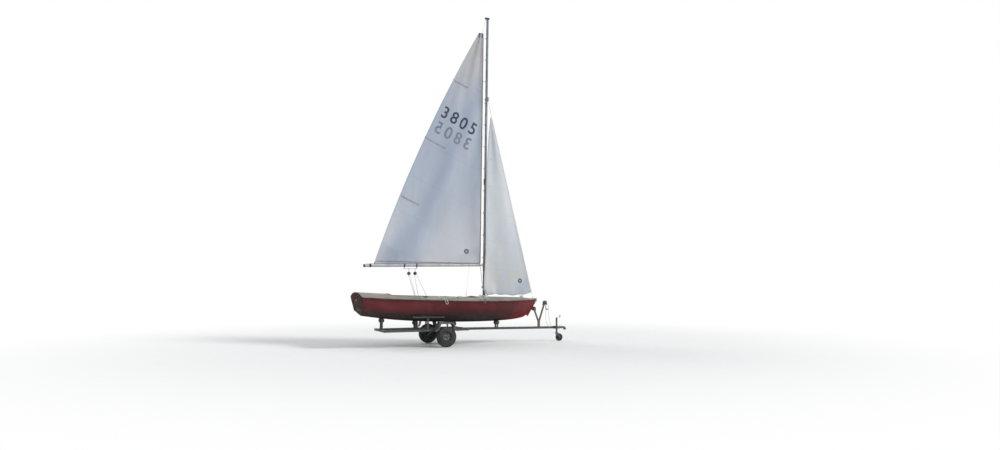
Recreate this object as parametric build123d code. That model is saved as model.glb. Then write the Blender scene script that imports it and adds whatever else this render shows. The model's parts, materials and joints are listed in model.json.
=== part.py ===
from build123d import *
import math
import os

# A 16-foot hard-chine plywood sailing dinghy, sails up, on its single-axle road trailer.
# Millimetres, +X to the bow, +Y to port, +Z up. Lengths along the boat start at the
# transom's top corner. Everything moves by frame_shift at the end, so that the origin
# is on the ground under the middle of the whole outline.

# Hull driving sizes
hull_ply = 6.0
deck_ply = 6.0
transom_board = 15.0
bulkhead_ply = 9.0
stem_depth = 25.0
strake_width = 18.0
strake_drop = 24.0
keel_batten_half = 20.0
keel_batten_depth = 18.0

# Stations: keel x, keel z, sheer x, sheer z, chine's share of the way up, chine half
# breadth, sheer half breadth, deck crown. Each one lies in its own raked plane.
STATIONS = [
    (100.0, 785.0, 0.0, 1222.0, 0.235, 540.0, 596.0, 116.0),
    (930.0, 674.0, 900.0, 1170.0, 0.320, 576.0, 664.0, 116.0),
    (2000.0, 604.0, 2000.0, 1131.0, 0.326, 586.0, 692.0, 116.0),
    (3000.0, 586.0, 3010.0, 1109.0, 0.319, 528.0, 658.0, 104.0),
    (3780.0, 598.0, 3830.0, 1101.0, 0.358, 390.0, 500.0, 92.0),
    (4300.0, 640.0, 4440.0, 1104.0, 0.400, 188.0, 258.0, 68.0),
    (4600.0, 715.0, 4855.0, 1114.0, 0.400, 15.0, 17.0, 9.0),
]

# Frames worked out between two rows of the table, fairing the panels
frames_per_bay = 3

# Cockpit and inside
cockpit_aft_x = 760.0
cockpit_fore_x = 3020.0
cockpit_half = 390.0
cockpit_corner = 110.0
coaming_wall = 12.0
coaming_above = 8.0
coaming_below = 40.0
bulkhead_inset = 24.0
thwart_x = 1800.0
thwart_length = 210.0
thwart_thick = 20.0
thwart_top_z = 1010.0
case_aft_x = 1850.0
case_fore_x = 2930.0
case_half = 25.0
case_slot_half = 13.0
case_post = 30.0
board_half = 10.0
board_gap = 15.0
board_low_z = 628.0
board_high_z = 1030.0
board_pin_radius = 6.0
floor_z = 700.0
floor_thick = 12.0
floor_outer = 300.0
floor_gap = 12.0

# Rig
mast_x = 3340.0
mast_lean = 0.77
mast_length = 7370.0
mast_fore_aft = 66.0
mast_across = 54.0
mast_wall = 2.5
step_height = 22.0
step_length = 130.0
step_width = 90.0
cap_length = 118.0
cap_height = 42.0
cap_width = 50.0
hounds_up = 5200.0
hounds_length = 110.0
hounds_depth = 34.0
hounds_width = 70.0
stay_radius = 1.5
chainplate_x = 3100.0
chainplate_width = 25.0
chainplate_thick = 3.0
chainplate_above = 45.0
chainplate_below = 70.0
gooseneck_up = 790.0
gooseneck_pin_radius = 6.0
gooseneck_plate = 8.0
gooseneck_half = 40.0
boom_pin_behind = 62.0
boom_start = 45.0
boom_length = 3085.0
boom_deep = 70.0
boom_wide = 50.0
boom_droop = 0.7
boom_cap_length = 34.0
boom_cap_lip = 2.5
bail_aft = 2098.0
bail_fore = 1778.0
bail_drop = 47.0
bail_bar_radius = 8.0
bail_strap_width = 30.0
bail_strap_thick = 3.0
sheet_block_radius = 27.0
sheet_block_width = 26.0
sheet_block_drop = 118.0
SHEET_BLOCK_BEHIND = [1978.0, 1818.0]

# Sails
sail_cloth = 2.0
main_luff_behind = 108.0
main_foot_end = 2800.0
main_head_up = 6960.0
main_head_width = 140.0
main_roach = 180.0
main_camber = 0.045
foot_gap = 4.0
jib_head_share = 0.098
jib_clew_x = 3290.0
jib_clew_y = -150.0
jib_clew_z = 1385.0
jib_tack_up = 62.0
jib_head_width = 45.0
jib_camber = 0.05

# Rudder fittings
GUDGEON_UP = [130.0, 380.0]
gudgeon_strap = 60.0
gudgeon_width = 22.0
gudgeon_height = 18.0
gudgeon_plate = 4.0
gudgeon_reach = 24.0
pintle_radius = 5.0

# Trailer
tyre_radius = 250.0
tyre_width = 135.0
rim_radius = 127.0
stub_radius = 16.0
track_half = 700.0
axle_x = 2060.0
axle_tube = 60.0
axle_beam_ahead = 120.0
axle_end_inset = 42.5
suspension_arm = 46.0
suspension_plate = 24.0
hub_inset = 20.0
rim_wall = 5.0
hub_radius = 40.0
hub_cap_radius = 24.0
frame_z = 400.0
drawbar_fall = 12.0
spine_tube = 60.0
rail_tube = 50.0
tube_wall = 3.0
rail_y = 450.0
rail_rear_x = 570.0
rail_front_x = 2750.0
coupling_front_x = 5772.0
coupling_reach = 272.0
ball_radius = 26.0
head_radius = 40.0
head_drop = 45.0
shank_lap = 120.0
mudguard_half_width = 98.0
mudguard_plate = 2.5
mudguard_lip = 42.0
mudguard_ahead = -15.0
MUDGUARD_BENDS = [
    (-305.0, 420.0), (-228.0, 460.0), (-185.0, 610.0), (185.0, 610.0), (228.0, 460.0), (305.0, 420.0),
]
mudguard_stay_half = 120.0
mudguard_stay_width = 40.0
mudguard_stay_plate = 6.0
bunk_rear_x = 1300.0
bunk_front_x = 2100.0
bunk_width = 100.0
bunk_thick = 40.0
bunk_bed = 8.0
bunk_post_x = 1670.0
bunk_post_half = 20.0
roller_radius = 45.0
roller_width = 120.0
roller_flare = 14.0
roller_pin = 9.0
bracket_half = 22.0
bracket_plate = 6.0
ROLLER_X = [620.0, 1480.0, 2500.0, 3700.0]
post_x = 4940.0
post_across = 60.0
post_deep = 50.0
arm_across = 50.0
arm_deep = 30.0
post_split_z = 520.0
snubber_z = 880.0
snubber_radius = 40.0
snubber_half = 48.0
snubber_pin = 8.0
winch_x = 5130.0
winch_z = 1040.0
winch_half = 39.0
winch_plate = 5.0
winch_height = 60.0
gear_radius = 42.0
crank_length = 185.0
grip_length = 90.0
drum_radius = 24.0
strap_thick = 3.0
strap_width = 50.0
spine_front_x = coupling_front_x - coupling_reach
jockey_x = spine_front_x - 60.0
jockey_y = -82.0
jockey_tube_radius = 24.0
jockey_wheel_radius = 100.0
jockey_wheel_width = 55.0
jockey_trail = 72.0
jockey_tube_above = 250.0
jockey_crank = 102.0
jockey_pin = 8.0
fork_plate = 5.0

# Clearances
seat_gap = 0.5
pin_gap = 0.4
turn_gap = 6.0

NODES = {}


def keep(name, shape):
    """Hold a finished piece under its node name."""
    NODES[name] = shape


def block(x0, x1, y0, y1, z0, z1):
    """Upright box from its limits."""
    middle = ((x0 + x1) / 2, (y0 + y1) / 2, (z0 + z1) / 2)
    return Pos(*middle) * Box(x1 - x0, y1 - y0, z1 - z0)


def rod(start, end, radius):
    """Round bar between two points."""
    run = Vector(end) - Vector(start)
    return Solid.make_cylinder(radius, run.length, Plane(origin=Vector(start), z_dir=run))


def beam(start, end, across, deep, wall=0.0):
    """Rectangular bar or tube between two points, across measured along Y."""
    run = Vector(end) - Vector(start)
    side = (0, 1, 0) if abs(run.Y) < 0.9 * run.length else (1, 0, 0)
    plane = Plane(origin=Vector(start), x_dir=side, z_dir=run)
    solid = extrude(plane * Rectangle(across, deep), run.length)
    if wall:
        solid -= extrude(plane * Rectangle(across - 2 * wall, deep - 2 * wall), run.length)
    return solid


def mirrored(shape):
    """The same piece on the other side."""
    return mirror(shape, Plane.XZ)


def tidy(shape):
    """One solid where the shape holds only one."""
    solids = shape.solids()
    return solids[0] if len(solids) == 1 else Compound(list(solids))


class Section:
    """Outer and inner corner points of one hull station, in its raked plane."""

    def __init__(self, keel_x, keel_z, sheer_x, sheer_z, chine_share, chine_half, sheer_half, crown):
        self.keel = Vector(keel_x, 0, keel_z)
        rise = Vector(sheer_x - keel_x, 0, sheer_z - keel_z)
        self.depth = rise.length
        self.up = rise.normalized()
        self.chine_half = chine_half
        self.chine_up = chine_share * self.depth
        self.sheer_half = sheer_half
        self.crown = crown

    def point(self, y, up):
        return self.keel + self.up * up + Vector(0, y, 0)

    def chine_flat(self):
        """Length, slope parts of the bottom and the side in the plane."""
        bottom = math.hypot(self.chine_half, self.chine_up)
        side_run = self.sheer_half - self.chine_half
        side_rise = self.depth - self.chine_up
        side = math.hypot(side_run, side_rise)
        return bottom, side_run, side_rise, side

    def inner_keel_up(self):
        bottom, _, _, _ = self.chine_flat()
        return hull_ply * bottom / self.chine_half

    def side_inset(self):
        _, _, side_rise, side = self.chine_flat()
        return hull_ply * side / side_rise

    def inner_chine(self):
        """Where the inner faces of bottom and side meet."""
        _, side_run, side_rise, _ = self.chine_flat()
        slope = self.chine_up / self.chine_half
        lean = side_run / side_rise
        start_y = self.chine_half - self.side_inset()
        up = (self.inner_keel_up() + slope * (start_y - lean * self.chine_up)) / (1 - slope * lean)
        return start_y + lean * (up - self.chine_up), up


def faired(step):
    """Hull row between the table's rows, on a smooth curve through them."""
    row = min(int(step), len(STATIONS) - 2)
    share = step - row
    near, far = STATIONS[row], STATIONS[row + 1]
    before = STATIONS[row - 1] if row else [2 * a - b for a, b in zip(near, far)]
    last = row + 2 > len(STATIONS) - 1
    after = [2 * b - a for a, b in zip(near, far)] if last else STATIONS[row + 2]
    values = []
    for p0, p1, p2, p3 in zip(before, near, far, after):
        bend = 2 * p0 - 5 * p1 + 4 * p2 - p3
        twist = 3 * p1 - p0 - 3 * p2 + p3
        values.append(p1 + 0.5 * share * (p2 - p0 + share * (bend + share * twist)))
    return values


last_step = frames_per_bay * (len(STATIONS) - 1)
SECTIONS = [Section(*faired(step / frames_per_bay)) for step in range(last_step + 1)]


def ruled(wires):
    """Solid with straight runs from each section to the next, so that neighbours meet face to face."""
    return Solid.make_loft(wires, ruled=True)


def polygon(section, corners):
    return Wire.make_polygon([section.point(y, up) for y, up in corners], close=True)


def band(section, below, above):
    """Cambered deck section between two heights over the sheer line."""
    half = section.sheer_half
    low = section.depth + below
    high = section.depth + above
    top = ThreePointArc(section.point(-half, high), section.point(0, high + section.crown),
                        section.point(half, high))
    bottom = ThreePointArc(section.point(half, low), section.point(0, low + section.crown),
                           section.point(-half, low))
    right = Line(section.point(half, high), section.point(half, low))
    left = Line(section.point(-half, low), section.point(-half, high))
    return Wire([top, right, bottom, left])


def deck_slab(below, above):
    return ruled([band(section, below, above) for section in SECTIONS])


def bottom_panels():
    """Both bottom panels, joined along the keel."""
    wires = []
    for section in SECTIONS:
        inner_y, inner_up = section.inner_chine()
        corners = [(0, 0), (section.chine_half, section.chine_up), (inner_y, inner_up),
                   (0, section.inner_keel_up()),
                   (-inner_y, inner_up), (-section.chine_half, section.chine_up)]
        wires.append(polygon(section, corners))
    return ruled(wires)


def topside_panel(side):
    wires = []
    for section in SECTIONS:
        inner_y, inner_up = section.inner_chine()
        sheer_inner = section.sheer_half - section.side_inset()
        corners = [(side * section.chine_half, section.chine_up), (side * section.sheer_half, section.depth),
                   (side * sheer_inner, section.depth), (side * inner_y, inner_up)]
        wires.append(polygon(section, corners))
    return ruled(wires)


def strake(side):
    wires = []
    for section in SECTIONS:
        half = section.sheer_half
        corners = [(side * half, section.depth - strake_drop), (side * half, section.depth + deck_ply),
                   (side * (half + strake_width), section.depth + deck_ply - 4),
                   (side * (half + strake_width), section.depth - strake_drop + 8)]
        wires.append(polygon(section, corners))
    return ruled(wires)


def keel_batten():
    """Straight-sided batten up into the bottom panels, still to be cut to them."""
    wires = []
    for section in SECTIONS[:-1]:
        half = keel_batten_half
        corners = [(half, 40), (half, -keel_batten_depth), (-half, -keel_batten_depth), (-half, 40)]
        wires.append(polygon(section, corners))
    return ruled(wires)


def hull_body(inner):
    """The closed shape inside or outside the plywood, carried straight up past the deck."""
    wires = []
    for section in SECTIONS:
        top = section.depth + 200
        if inner:
            chine_y, chine_up = section.inner_chine()
            keel_up = section.inner_keel_up()
            sheer_y = section.sheer_half - section.side_inset()
        else:
            chine_y, chine_up, keel_up, sheer_y = section.chine_half, section.chine_up, 0, section.sheer_half
        corners = [(0, keel_up), (chine_y, chine_up), (sheer_y, section.depth), (sheer_y, top),
                   (-sheer_y, top), (-sheer_y, section.depth), (-chine_y, chine_up)]
        wires.append(polygon(section, corners))
    return ruled(wires)


def height_at(shape, x, y, top=True):
    """Height of a piece's upper or lower surface over a point."""
    probe = shape & block(x - 1, x + 1, y - 1, y + 1, 0, 3000)
    box = probe.bounding_box()
    return box.max.Z if top else box.min.Z


# Hull panels
outside = hull_body(inner=False)
inside = hull_body(inner=True)
deck_whole = deck_slab(0, deck_ply)
deck_top_tool = deck_slab(-300, deck_ply)
above_deck_underside = deck_slab(0, 600)
case_slot = block(case_aft_x + case_post, case_fore_x - case_post, -case_slot_half, case_slot_half, 400, 1300)

keep("hull_bottom", bottom_panels() - case_slot)
for side, label in ((1, "port"), (-1, "starboard")):
    keep("topside_" + label, topside_panel(side))
keep("rubbing_strakes", Compound([strake(1), strake(-1)]))

keep("keel_batten", tidy(keel_batten() - outside - case_slot))

transom_section = SECTIONS[0]
transom_edge = Polyline(
    transom_section.point(-transom_section.sheer_half, transom_section.depth + deck_ply),
    transom_section.point(-transom_section.chine_half, transom_section.chine_up),
    transom_section.point(0, 0),
    transom_section.point(transom_section.chine_half, transom_section.chine_up),
    transom_section.point(transom_section.sheer_half, transom_section.depth + deck_ply),
)
transom_crown = ThreePointArc(
    transom_section.point(transom_section.sheer_half, transom_section.depth + deck_ply),
    transom_section.point(0, transom_section.depth + deck_ply + transom_section.crown),
    transom_section.point(-transom_section.sheer_half, transom_section.depth + deck_ply),
)
aft_normal = Vector(0, 1, 0).cross(transom_section.up)
if aft_normal.X > 0:
    aft_normal = aft_normal * -1
transom_face = Face(Wire(transom_edge.edges() + [transom_crown.edge()]))
transom = extrude(transom_face, transom_board, dir=aft_normal)
keep("transom", transom)

stem_section = SECTIONS[-1]
stem_low = stem_section.point(0, -30)
stem_high = stem_section.point(0, stem_section.depth + deck_ply)
ahead = stem_section.up.cross(Vector(0, 1, 0))
if ahead.X < 0:
    ahead = ahead * -1
stem_middle = stem_low + ahead * (stem_depth / 2)
stem_plane = Plane(origin=stem_middle, x_dir=(0, 1, 0), z_dir=stem_section.up)
stem_face = stem_plane * Rectangle(2 * stem_section.sheer_half, stem_depth)
stem_bar = extrude(stem_face, (stem_high - stem_low).length)
keep("stem", stem_bar)

# Decks and cockpit
opening_length = cockpit_fore_x - cockpit_aft_x
opening_middle = (cockpit_fore_x + cockpit_aft_x) / 2


def opening_prism(grow):
    shape = RectangleRounded(opening_length + 2 * grow, 2 * (cockpit_half + grow), cockpit_corner + grow)
    return extrude(Pos(opening_middle, 0, 900) * shape, 700)


deck_open = deck_whole - opening_prism(0)
keep("foredeck", tidy(deck_open & block(cockpit_fore_x, 6000, -900, 900, 900, 1600)))
keep("afterdeck", tidy(deck_open & block(-500, cockpit_aft_x, -900, 900, 900, 1600)))
keep("side_deck_port", tidy(deck_open & block(cockpit_aft_x, cockpit_fore_x, 0, 900, 900, 1600)))
keep("side_deck_starboard", tidy(deck_open & block(cockpit_aft_x, cockpit_fore_x, -900, 0, 900, 1600)))
coaming_ring = opening_prism(0) - opening_prism(-coaming_wall)
keep("cockpit_coaming", tidy(coaming_ring & deck_slab(-coaming_below, deck_ply + coaming_above)))

fore_bulkhead_x = cockpit_fore_x + bulkhead_inset
aft_bulkhead_x = cockpit_aft_x - bulkhead_inset
fore_slab = block(fore_bulkhead_x, fore_bulkhead_x + bulkhead_ply, -900, 900, 0, 2000)
aft_slab = block(aft_bulkhead_x - bulkhead_ply, aft_bulkhead_x, -900, 900, 0, 2000)
keep("fore_bulkhead", tidy((inside & fore_slab) - above_deck_underside))
keep("aft_bulkhead", tidy((inside & aft_slab) - above_deck_underside))

case_top_z = thwart_top_z - thwart_thick
thwart = inside & block(thwart_x, thwart_x + thwart_length, -900, 900, case_top_z, thwart_top_z)
keep("thwart", tidy(thwart))

case = (block(case_aft_x, case_fore_x, -case_half, case_half, 500, case_top_z) & inside) - case_slot
board_pin = (case_fore_x - 160, board_low_z + 90)
pin_hole = rod((board_pin[0], -60, board_pin[1]), (board_pin[0], 60, board_pin[1]), board_pin_radius)
pin = rod((board_pin[0], -case_half - 6, board_pin[1]), (board_pin[0], case_half + 6, board_pin[1]),
          board_pin_radius)
keep("centreboard_case", tidy(case + pin))
board_aft_x = case_aft_x + case_post + board_gap
board_fore_x = case_fore_x - case_post - board_gap
board_outline = Polyline(
    (board_aft_x, 0, board_low_z + 40), (board_fore_x, 0, board_low_z),
    (board_fore_x, 0, board_high_z - 220), (thwart_x + thwart_length + 60, 0, board_high_z),
    (thwart_x + thwart_length + 20, 0, case_top_z - 20), (board_aft_x, 0, case_top_z - 20), close=True)
board = extrude(Face(Wire(board_outline.edges())), board_half, both=True)
keep("centreboard", tidy(board - pin_hole))
floor_inner = case_half + floor_gap
floor_top = floor_z + floor_thick
floor_box = block(cockpit_aft_x + 40, cockpit_fore_x - 10, floor_inner, floor_outer, floor_z, floor_top)
floor_port = tidy(floor_box & inside)
keep("floorboards", Compound([floor_port, mirrored(floor_port)]))

# Rig: the mast leans a little forward, and the sails follow it
deck_at_mast = height_at(deck_whole, mast_x, 0)
heel_z = deck_at_mast + step_height
lean = math.radians(mast_lean)
mast_up = Vector(math.sin(lean), 0, math.cos(lean))
mast_fore = Vector(math.cos(lean), 0, -math.sin(lean))
mast_heel = Vector(mast_x, 0, heel_z)
mast_plane = Plane(origin=mast_heel, x_dir=mast_fore, z_dir=mast_up)


def rig_point(fore, across, up):
    """Point from its place ahead of, beside and up the mast."""
    return mast_heel + mast_fore * fore + Vector(0, across, 0) + mast_up * up


step_box = block(mast_x - step_length / 2, mast_x + step_length / 2, -step_width / 2, step_width / 2,
                 deck_at_mast - 40, heel_z + 6)
mast_socket = mast_plane * extrude(Ellipse(mast_fore_aft / 2, mast_across / 2), 200)
keep("mast_step", tidy(step_box - deck_top_tool - mast_socket))

mast_outer = extrude(Ellipse(mast_fore_aft / 2, mast_across / 2), mast_length)
mast_inner = extrude(Ellipse(mast_fore_aft / 2 - mast_wall, mast_across / 2 - mast_wall), mast_length)
keep("mast", tidy(mast_plane * (mast_outer - mast_inner)))

cap_centre = Pos(-12, 0, mast_length + cap_height / 2)
keep("masthead_cap", mast_plane * (cap_centre * Box(cap_length, cap_width, cap_height)))

hounds_middle = Pos(mast_fore_aft / 2 + hounds_depth / 2 - 8, 0, hounds_up)
hounds_block = hounds_middle * Box(hounds_depth, hounds_width, hounds_length)
keep("hounds_fitting", tidy(mast_plane * (hounds_block - mast_outer)))

stay_top = rig_point(mast_fore_aft / 2 + hounds_depth - 14, 0, hounds_up - hounds_length / 2)
stem_head = stem_section.point(0, stem_section.depth + deck_ply)
bow_plate_top_z = height_at(deck_whole, stem_head.X - 90, 0) + 12
bow_eye = Vector(stem_head.X - 90, 0, bow_plate_top_z)
keep("forestay", rod(bow_eye + Vector(0, 0, 2), stay_top, stay_radius))

chainplates = []
for side, label in ((1, "port"), (-1, "starboard")):
    x0, x1 = chainplate_x - chainplate_width / 2, chainplate_x + chainplate_width / 2
    box = (strake(1) & block(x0, x1, -900, 900, 900, 1600)).bounding_box()
    outer_y = box.max.Y + seat_gap
    sheer_z = box.max.Z
    plate = block(x0, x1, outer_y, outer_y + chainplate_thick, sheer_z - chainplate_below,
                  sheer_z + chainplate_above)
    chainplates.append(plate if side == 1 else mirrored(plate))
    low = Vector(chainplate_x, side * (outer_y + chainplate_thick / 2), sheer_z + chainplate_above)
    high = rig_point(10, side * (hounds_width / 2 - 6), hounds_up - hounds_length / 2)
    keep("shroud_" + label, rod(low, high, stay_radius))

keep("chainplates", Compound(chainplates))

plate_box = block(stem_head.X - 150, stem_head.X + 10, -30, 30, stem_head.Z - 60, bow_plate_top_z)
keep("bow_fitting", tidy(plate_box - deck_top_tool - stem_bar - strake(1) - strake(-1)))

# Boom and mainsail, on the gooseneck's hinge just behind the mast
pivot = rig_point(-boom_pin_behind, 0, gooseneck_up)
droop = math.radians(boom_droop)
boom_aft = Vector(-math.cos(droop), 0, -math.sin(droop))
boom_up = Vector(-math.sin(droop), 0, math.cos(droop))


def boom_point(behind, across, up):
    """Point from its distance behind the hinge, beside and above the boom's middle line."""
    return pivot + boom_aft * behind + boom_up * up + Vector(0, across, 0)


def along_boom(behind):
    """Plane across the boom, its X upwards."""
    return Plane(origin=boom_point(behind, 0, 0), x_dir=boom_up, z_dir=boom_aft)


def boom_oval(grow):
    return Ellipse(boom_deep / 2 + grow, boom_wide / 2 + grow)


boom_tail = boom_start + boom_length
boom_bar = along_boom(boom_start) * extrude(boom_oval(0), boom_length)
keep("boom", boom_bar)
cap_shell = extrude(boom_oval(boom_cap_lip), boom_cap_length + boom_cap_lip)
cap_shell -= extrude(boom_oval(0), boom_cap_length)
keep("boom_end_cap", tidy(along_boom(boom_tail - boom_cap_length) * cap_shell - boom_bar))

eye_gap = boom_pin_behind - mast_fore_aft / 2
pin_low = pivot - mast_up * gooseneck_half
pin_high = pivot + mast_up * gooseneck_half
pin_clear = rod(pin_low, pin_high, gooseneck_pin_radius + pin_gap)
eye_reach = mast_up * (1.5 * gooseneck_plate + 1)
tongue = beam(pivot, pivot + boom_aft * boom_start, 2 * gooseneck_plate, 2 * eye_reach.length)
tongue_eye = rod(pivot - eye_reach, pivot + eye_reach, 2 * gooseneck_pin_radius)
keep("gooseneck_tongue", tidy(tongue + tongue_eye - pin_clear - boom_bar))
bracket = rod(pin_low, pin_high, gooseneck_pin_radius)
ear_length = eye_gap + 4 * gooseneck_plate
for height in (gooseneck_plate / 2 - gooseneck_half, gooseneck_half - 1.5 * gooseneck_plate):
    ear_plane = Plane(origin=pivot + mast_up * height, x_dir=mast_fore, z_dir=mast_up)
    ear = Pos(ear_length / 2 - 2 * gooseneck_pin_radius, 0) * Rectangle(ear_length, 4 * gooseneck_plate)
    bracket += extrude(ear_plane * ear, gooseneck_plate)
back = Pos(eye_gap - 1, 0) * Rectangle(gooseneck_plate + 2, 5 * gooseneck_plate)
bracket += extrude(Plane(origin=pin_low, x_dir=mast_fore, z_dir=mast_up) * back, 2 * gooseneck_half)
keep("gooseneck_bracket", tidy(bracket - mast_plane * mast_outer))

# Mainsheet bail slung under the boom, with its two blocks
bail_low = -boom_deep / 2 - bail_drop
bail = rod(boom_point(bail_fore - 24, 0, bail_low), boom_point(bail_aft + 24, 0, bail_low), bail_bar_radius)
leg_height = bail_drop - seat_gap - 1
leg_middle = bail_low + leg_height / 2
for behind in (bail_aft, bail_fore):
    loop = extrude(boom_oval(seat_gap + bail_strap_thick), bail_strap_width)
    loop -= extrude(boom_oval(seat_gap), bail_strap_width)
    leg = Box(leg_height, 2 * bail_strap_thick, bail_strap_width)
    loop += Pos(leg_middle, 0, bail_strap_width / 2) * leg
    bail += along_boom(behind - bail_strap_width / 2) * loop
keep("mainsheet_bail", tidy(bail))

sheet_blocks = []
half = sheet_block_width / 2
hanger_top = sheet_block_drop + bail_bar_radius + 8
window_low = sheet_block_radius + 2
window_high = sheet_block_drop + bail_bar_radius + 1
bar_way = 2 * bail_bar_radius + 1
for behind in SHEET_BLOCK_BEHIND:
    face = Plane(origin=boom_point(behind, 0, bail_low - sheet_block_drop), x_dir=boom_aft, z_dir=(0, 1, 0))
    groove = extrude(Circle(sheet_block_radius + 5), half) - extrude(Circle(sheet_block_radius - 7), half)
    body = Pos(0, 0, -half) * extrude(Circle(sheet_block_radius), sheet_block_width)
    body -= Pos(0, 0, -half / 2) * groove
    body += Pos(0, hanger_top / 2, 0) * Box(14, hanger_top, bar_way + 9)
    body -= Pos(0, (window_low + window_high) / 2, 0) * Box(20, window_high - window_low, bar_way)
    sheet_blocks.append(tidy(face * body))
keep("mainsheet_blocks", Compound(sheet_blocks))


def cloth(low_luff, high_luff, low_leech, high_leech, bow_out, camber, side, rows=5):
    """Thin cambered sail between its luff and leech, with the leech curved out."""
    wires = []
    for row in range(rows):
        share = row / (rows - 1)
        luff = low_luff + (high_luff - low_luff) * share
        leech = low_leech + (high_leech - low_leech) * share
        chord = leech - luff
        leech = leech + chord.normalized() * (4 * bow_out * share * (1 - share))
        chord = leech - luff
        out = Vector(0, side, 0)
        belly = luff + chord * 0.5 + out * (chord.length * camber * (0.35 + 0.65 * math.sin(math.pi * share)))
        thick = out * sail_cloth
        near = ThreePointArc(luff, belly, leech)
        far = ThreePointArc(leech + thick, belly + thick, luff + thick)
        wires.append(Wire([near, Line(leech, leech + thick), far, Line(luff + thick, luff)]))
    return ruled(wires)


foot_up = gooseneck_up + boom_deep / 2 + foot_gap
main_tack = rig_point(-main_luff_behind, 0, foot_up)
main_head = rig_point(-main_luff_behind, 0, main_head_up)
main_clew = boom_point(main_foot_end, 0, boom_deep / 2 + foot_gap)
main_head_aft = rig_point(-main_luff_behind - main_head_width, 0, main_head_up)
keep("mainsail", cloth(main_tack, main_head, main_clew, main_head_aft, main_roach, main_camber, 1))

stay_run = stay_top - bow_eye
jib_tack = bow_eye + stay_run.normalized() * jib_tack_up + Vector(-6, 0, 0)
jib_head = bow_eye + stay_run * (1 - jib_head_share) + Vector(-6, 0, 0)
jib_clew = Vector(jib_clew_x, jib_clew_y, jib_clew_z)
jib_head_aft = jib_head + Vector(-jib_head_width, -4, 0)
keep("jib", cloth(jib_tack, jib_head, jib_clew, jib_head_aft, -20, jib_camber, -1))

# Rudder gudgeons on the transom
gudgeons = []
for up in GUDGEON_UP:
    back = transom_section.point(0, up) + aft_normal * transom_board
    mounting = Plane(origin=back, x_dir=(0, 1, 0), z_dir=aft_normal)
    strap = mounting * extrude(Rectangle(gudgeon_strap, gudgeon_height + 8), gudgeon_plate)
    lug = mounting * extrude(Rectangle(gudgeon_width, gudgeon_height), gudgeon_reach + 10)
    hole_middle = back + aft_normal * gudgeon_reach
    past = transom_section.up * gudgeon_height
    gudgeons.append(tidy(strap + lug - rod(hole_middle - past, hole_middle + past, pintle_radius)))
keep("rudder_gudgeons", Compound(gudgeons))


# Trailer frame
def drawbar_z(x):
    """Height of the drawbar's middle, which falls a little towards the coupling."""
    return frame_z - drawbar_fall * (x - axle_x) / 1000


def drawbar_top(x):
    return drawbar_z(x) + spine_tube / 2


spine_rear = (rail_rear_x, 0, drawbar_z(rail_rear_x))
spine_front = (spine_front_x, 0, drawbar_z(spine_front_x))
keep("drawbar", tidy(beam(spine_rear, spine_front, spine_tube, spine_tube, tube_wall)))
rails = []
for side in (1, -1):
    rail_rear = (rail_rear_x, side * rail_y, frame_z)
    rail_front = (rail_front_x, side * rail_y, frame_z)
    rails.append(tidy(beam(rail_rear, rail_front, rail_tube, rail_tube, tube_wall)))
keep("side_rails", Compound(rails))

axle_beam_x = axle_x + axle_beam_ahead
crosses = []
for x in (rail_rear_x + rail_tube / 2, axle_beam_x + rail_tube / 2, rail_front_x - rail_tube / 2):
    for side in (1, -1):
        inner = side * spine_tube / 2
        outer = side * (rail_y - rail_tube / 2)
        crosses.append(tidy(beam((x, inner, frame_z), (x, outer, frame_z), rail_tube, rail_tube)))
keep("cross_members", Compound(crosses))

# Axle with its swinging arms and stubs
axle_beam_z = drawbar_z(axle_beam_x + axle_tube / 2) - spine_tube / 2 - axle_tube / 2
axle_end_y = track_half - tyre_width / 2 - axle_end_inset
arm_y = axle_end_y - suspension_plate / 2
axle_right = (axle_beam_x, -axle_end_y, axle_beam_z)
axle_left = (axle_beam_x, axle_end_y, axle_beam_z)
axle = beam(axle_right, axle_left, axle_tube, axle_tube)
pad_half = axle_tube * 0.75
for side in (1, -1):
    near, far = sorted((side * (rail_y - rail_tube / 2), side * (rail_y + rail_tube / 2)))
    pad_top = frame_z - rail_tube / 2
    axle += block(axle_beam_x - pad_half, axle_beam_x + pad_half, near, far, axle_beam_z, pad_top)
    arm_fore = (axle_beam_x + 10, side * arm_y, axle_beam_z)
    arm_aft = (axle_x - stub_radius, side * arm_y, tyre_radius)
    axle += beam(arm_fore, arm_aft, suspension_plate, suspension_arm)
    axle += rod((axle_x, side * (arm_y - suspension_plate / 2), tyre_radius),
                (axle_x, side * (track_half - hub_inset), tyre_radius), stub_radius)
keep("axle", tidy(axle))


def turned(rows, centre, side=1, halves=True):
    """Solid turned about Y from rows of radius and distance along the axis, the rows being one half."""
    outline = list(rows)
    if halves:
        outline += [(radius, -along) for radius, along in reversed(rows)]
    face = Plane.XZ * make_face(Polyline(*outline, close=True))
    return Plane(origin=centre, x_dir=(1, 0, 0), z_dir=(0, side, 0)) * revolve(face, Axis.Z)


# Road wheels. Tyre rows: height over the bead seat, share of the tyre's half width
TYRE_ROWS = [(0.0, 0.68), (10.0, 0.68), (28.0, 0.93), (60.0, 1.0), (92.0, 0.95), (112.0, 0.82), (123.0, 0.55)]
bead = TYRE_ROWS[0][1] * tyre_width / 2 + seat_gap
flange = 4.5
barrel = rim_radius - rim_wall
hub_bore = stub_radius + 1.5
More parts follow.
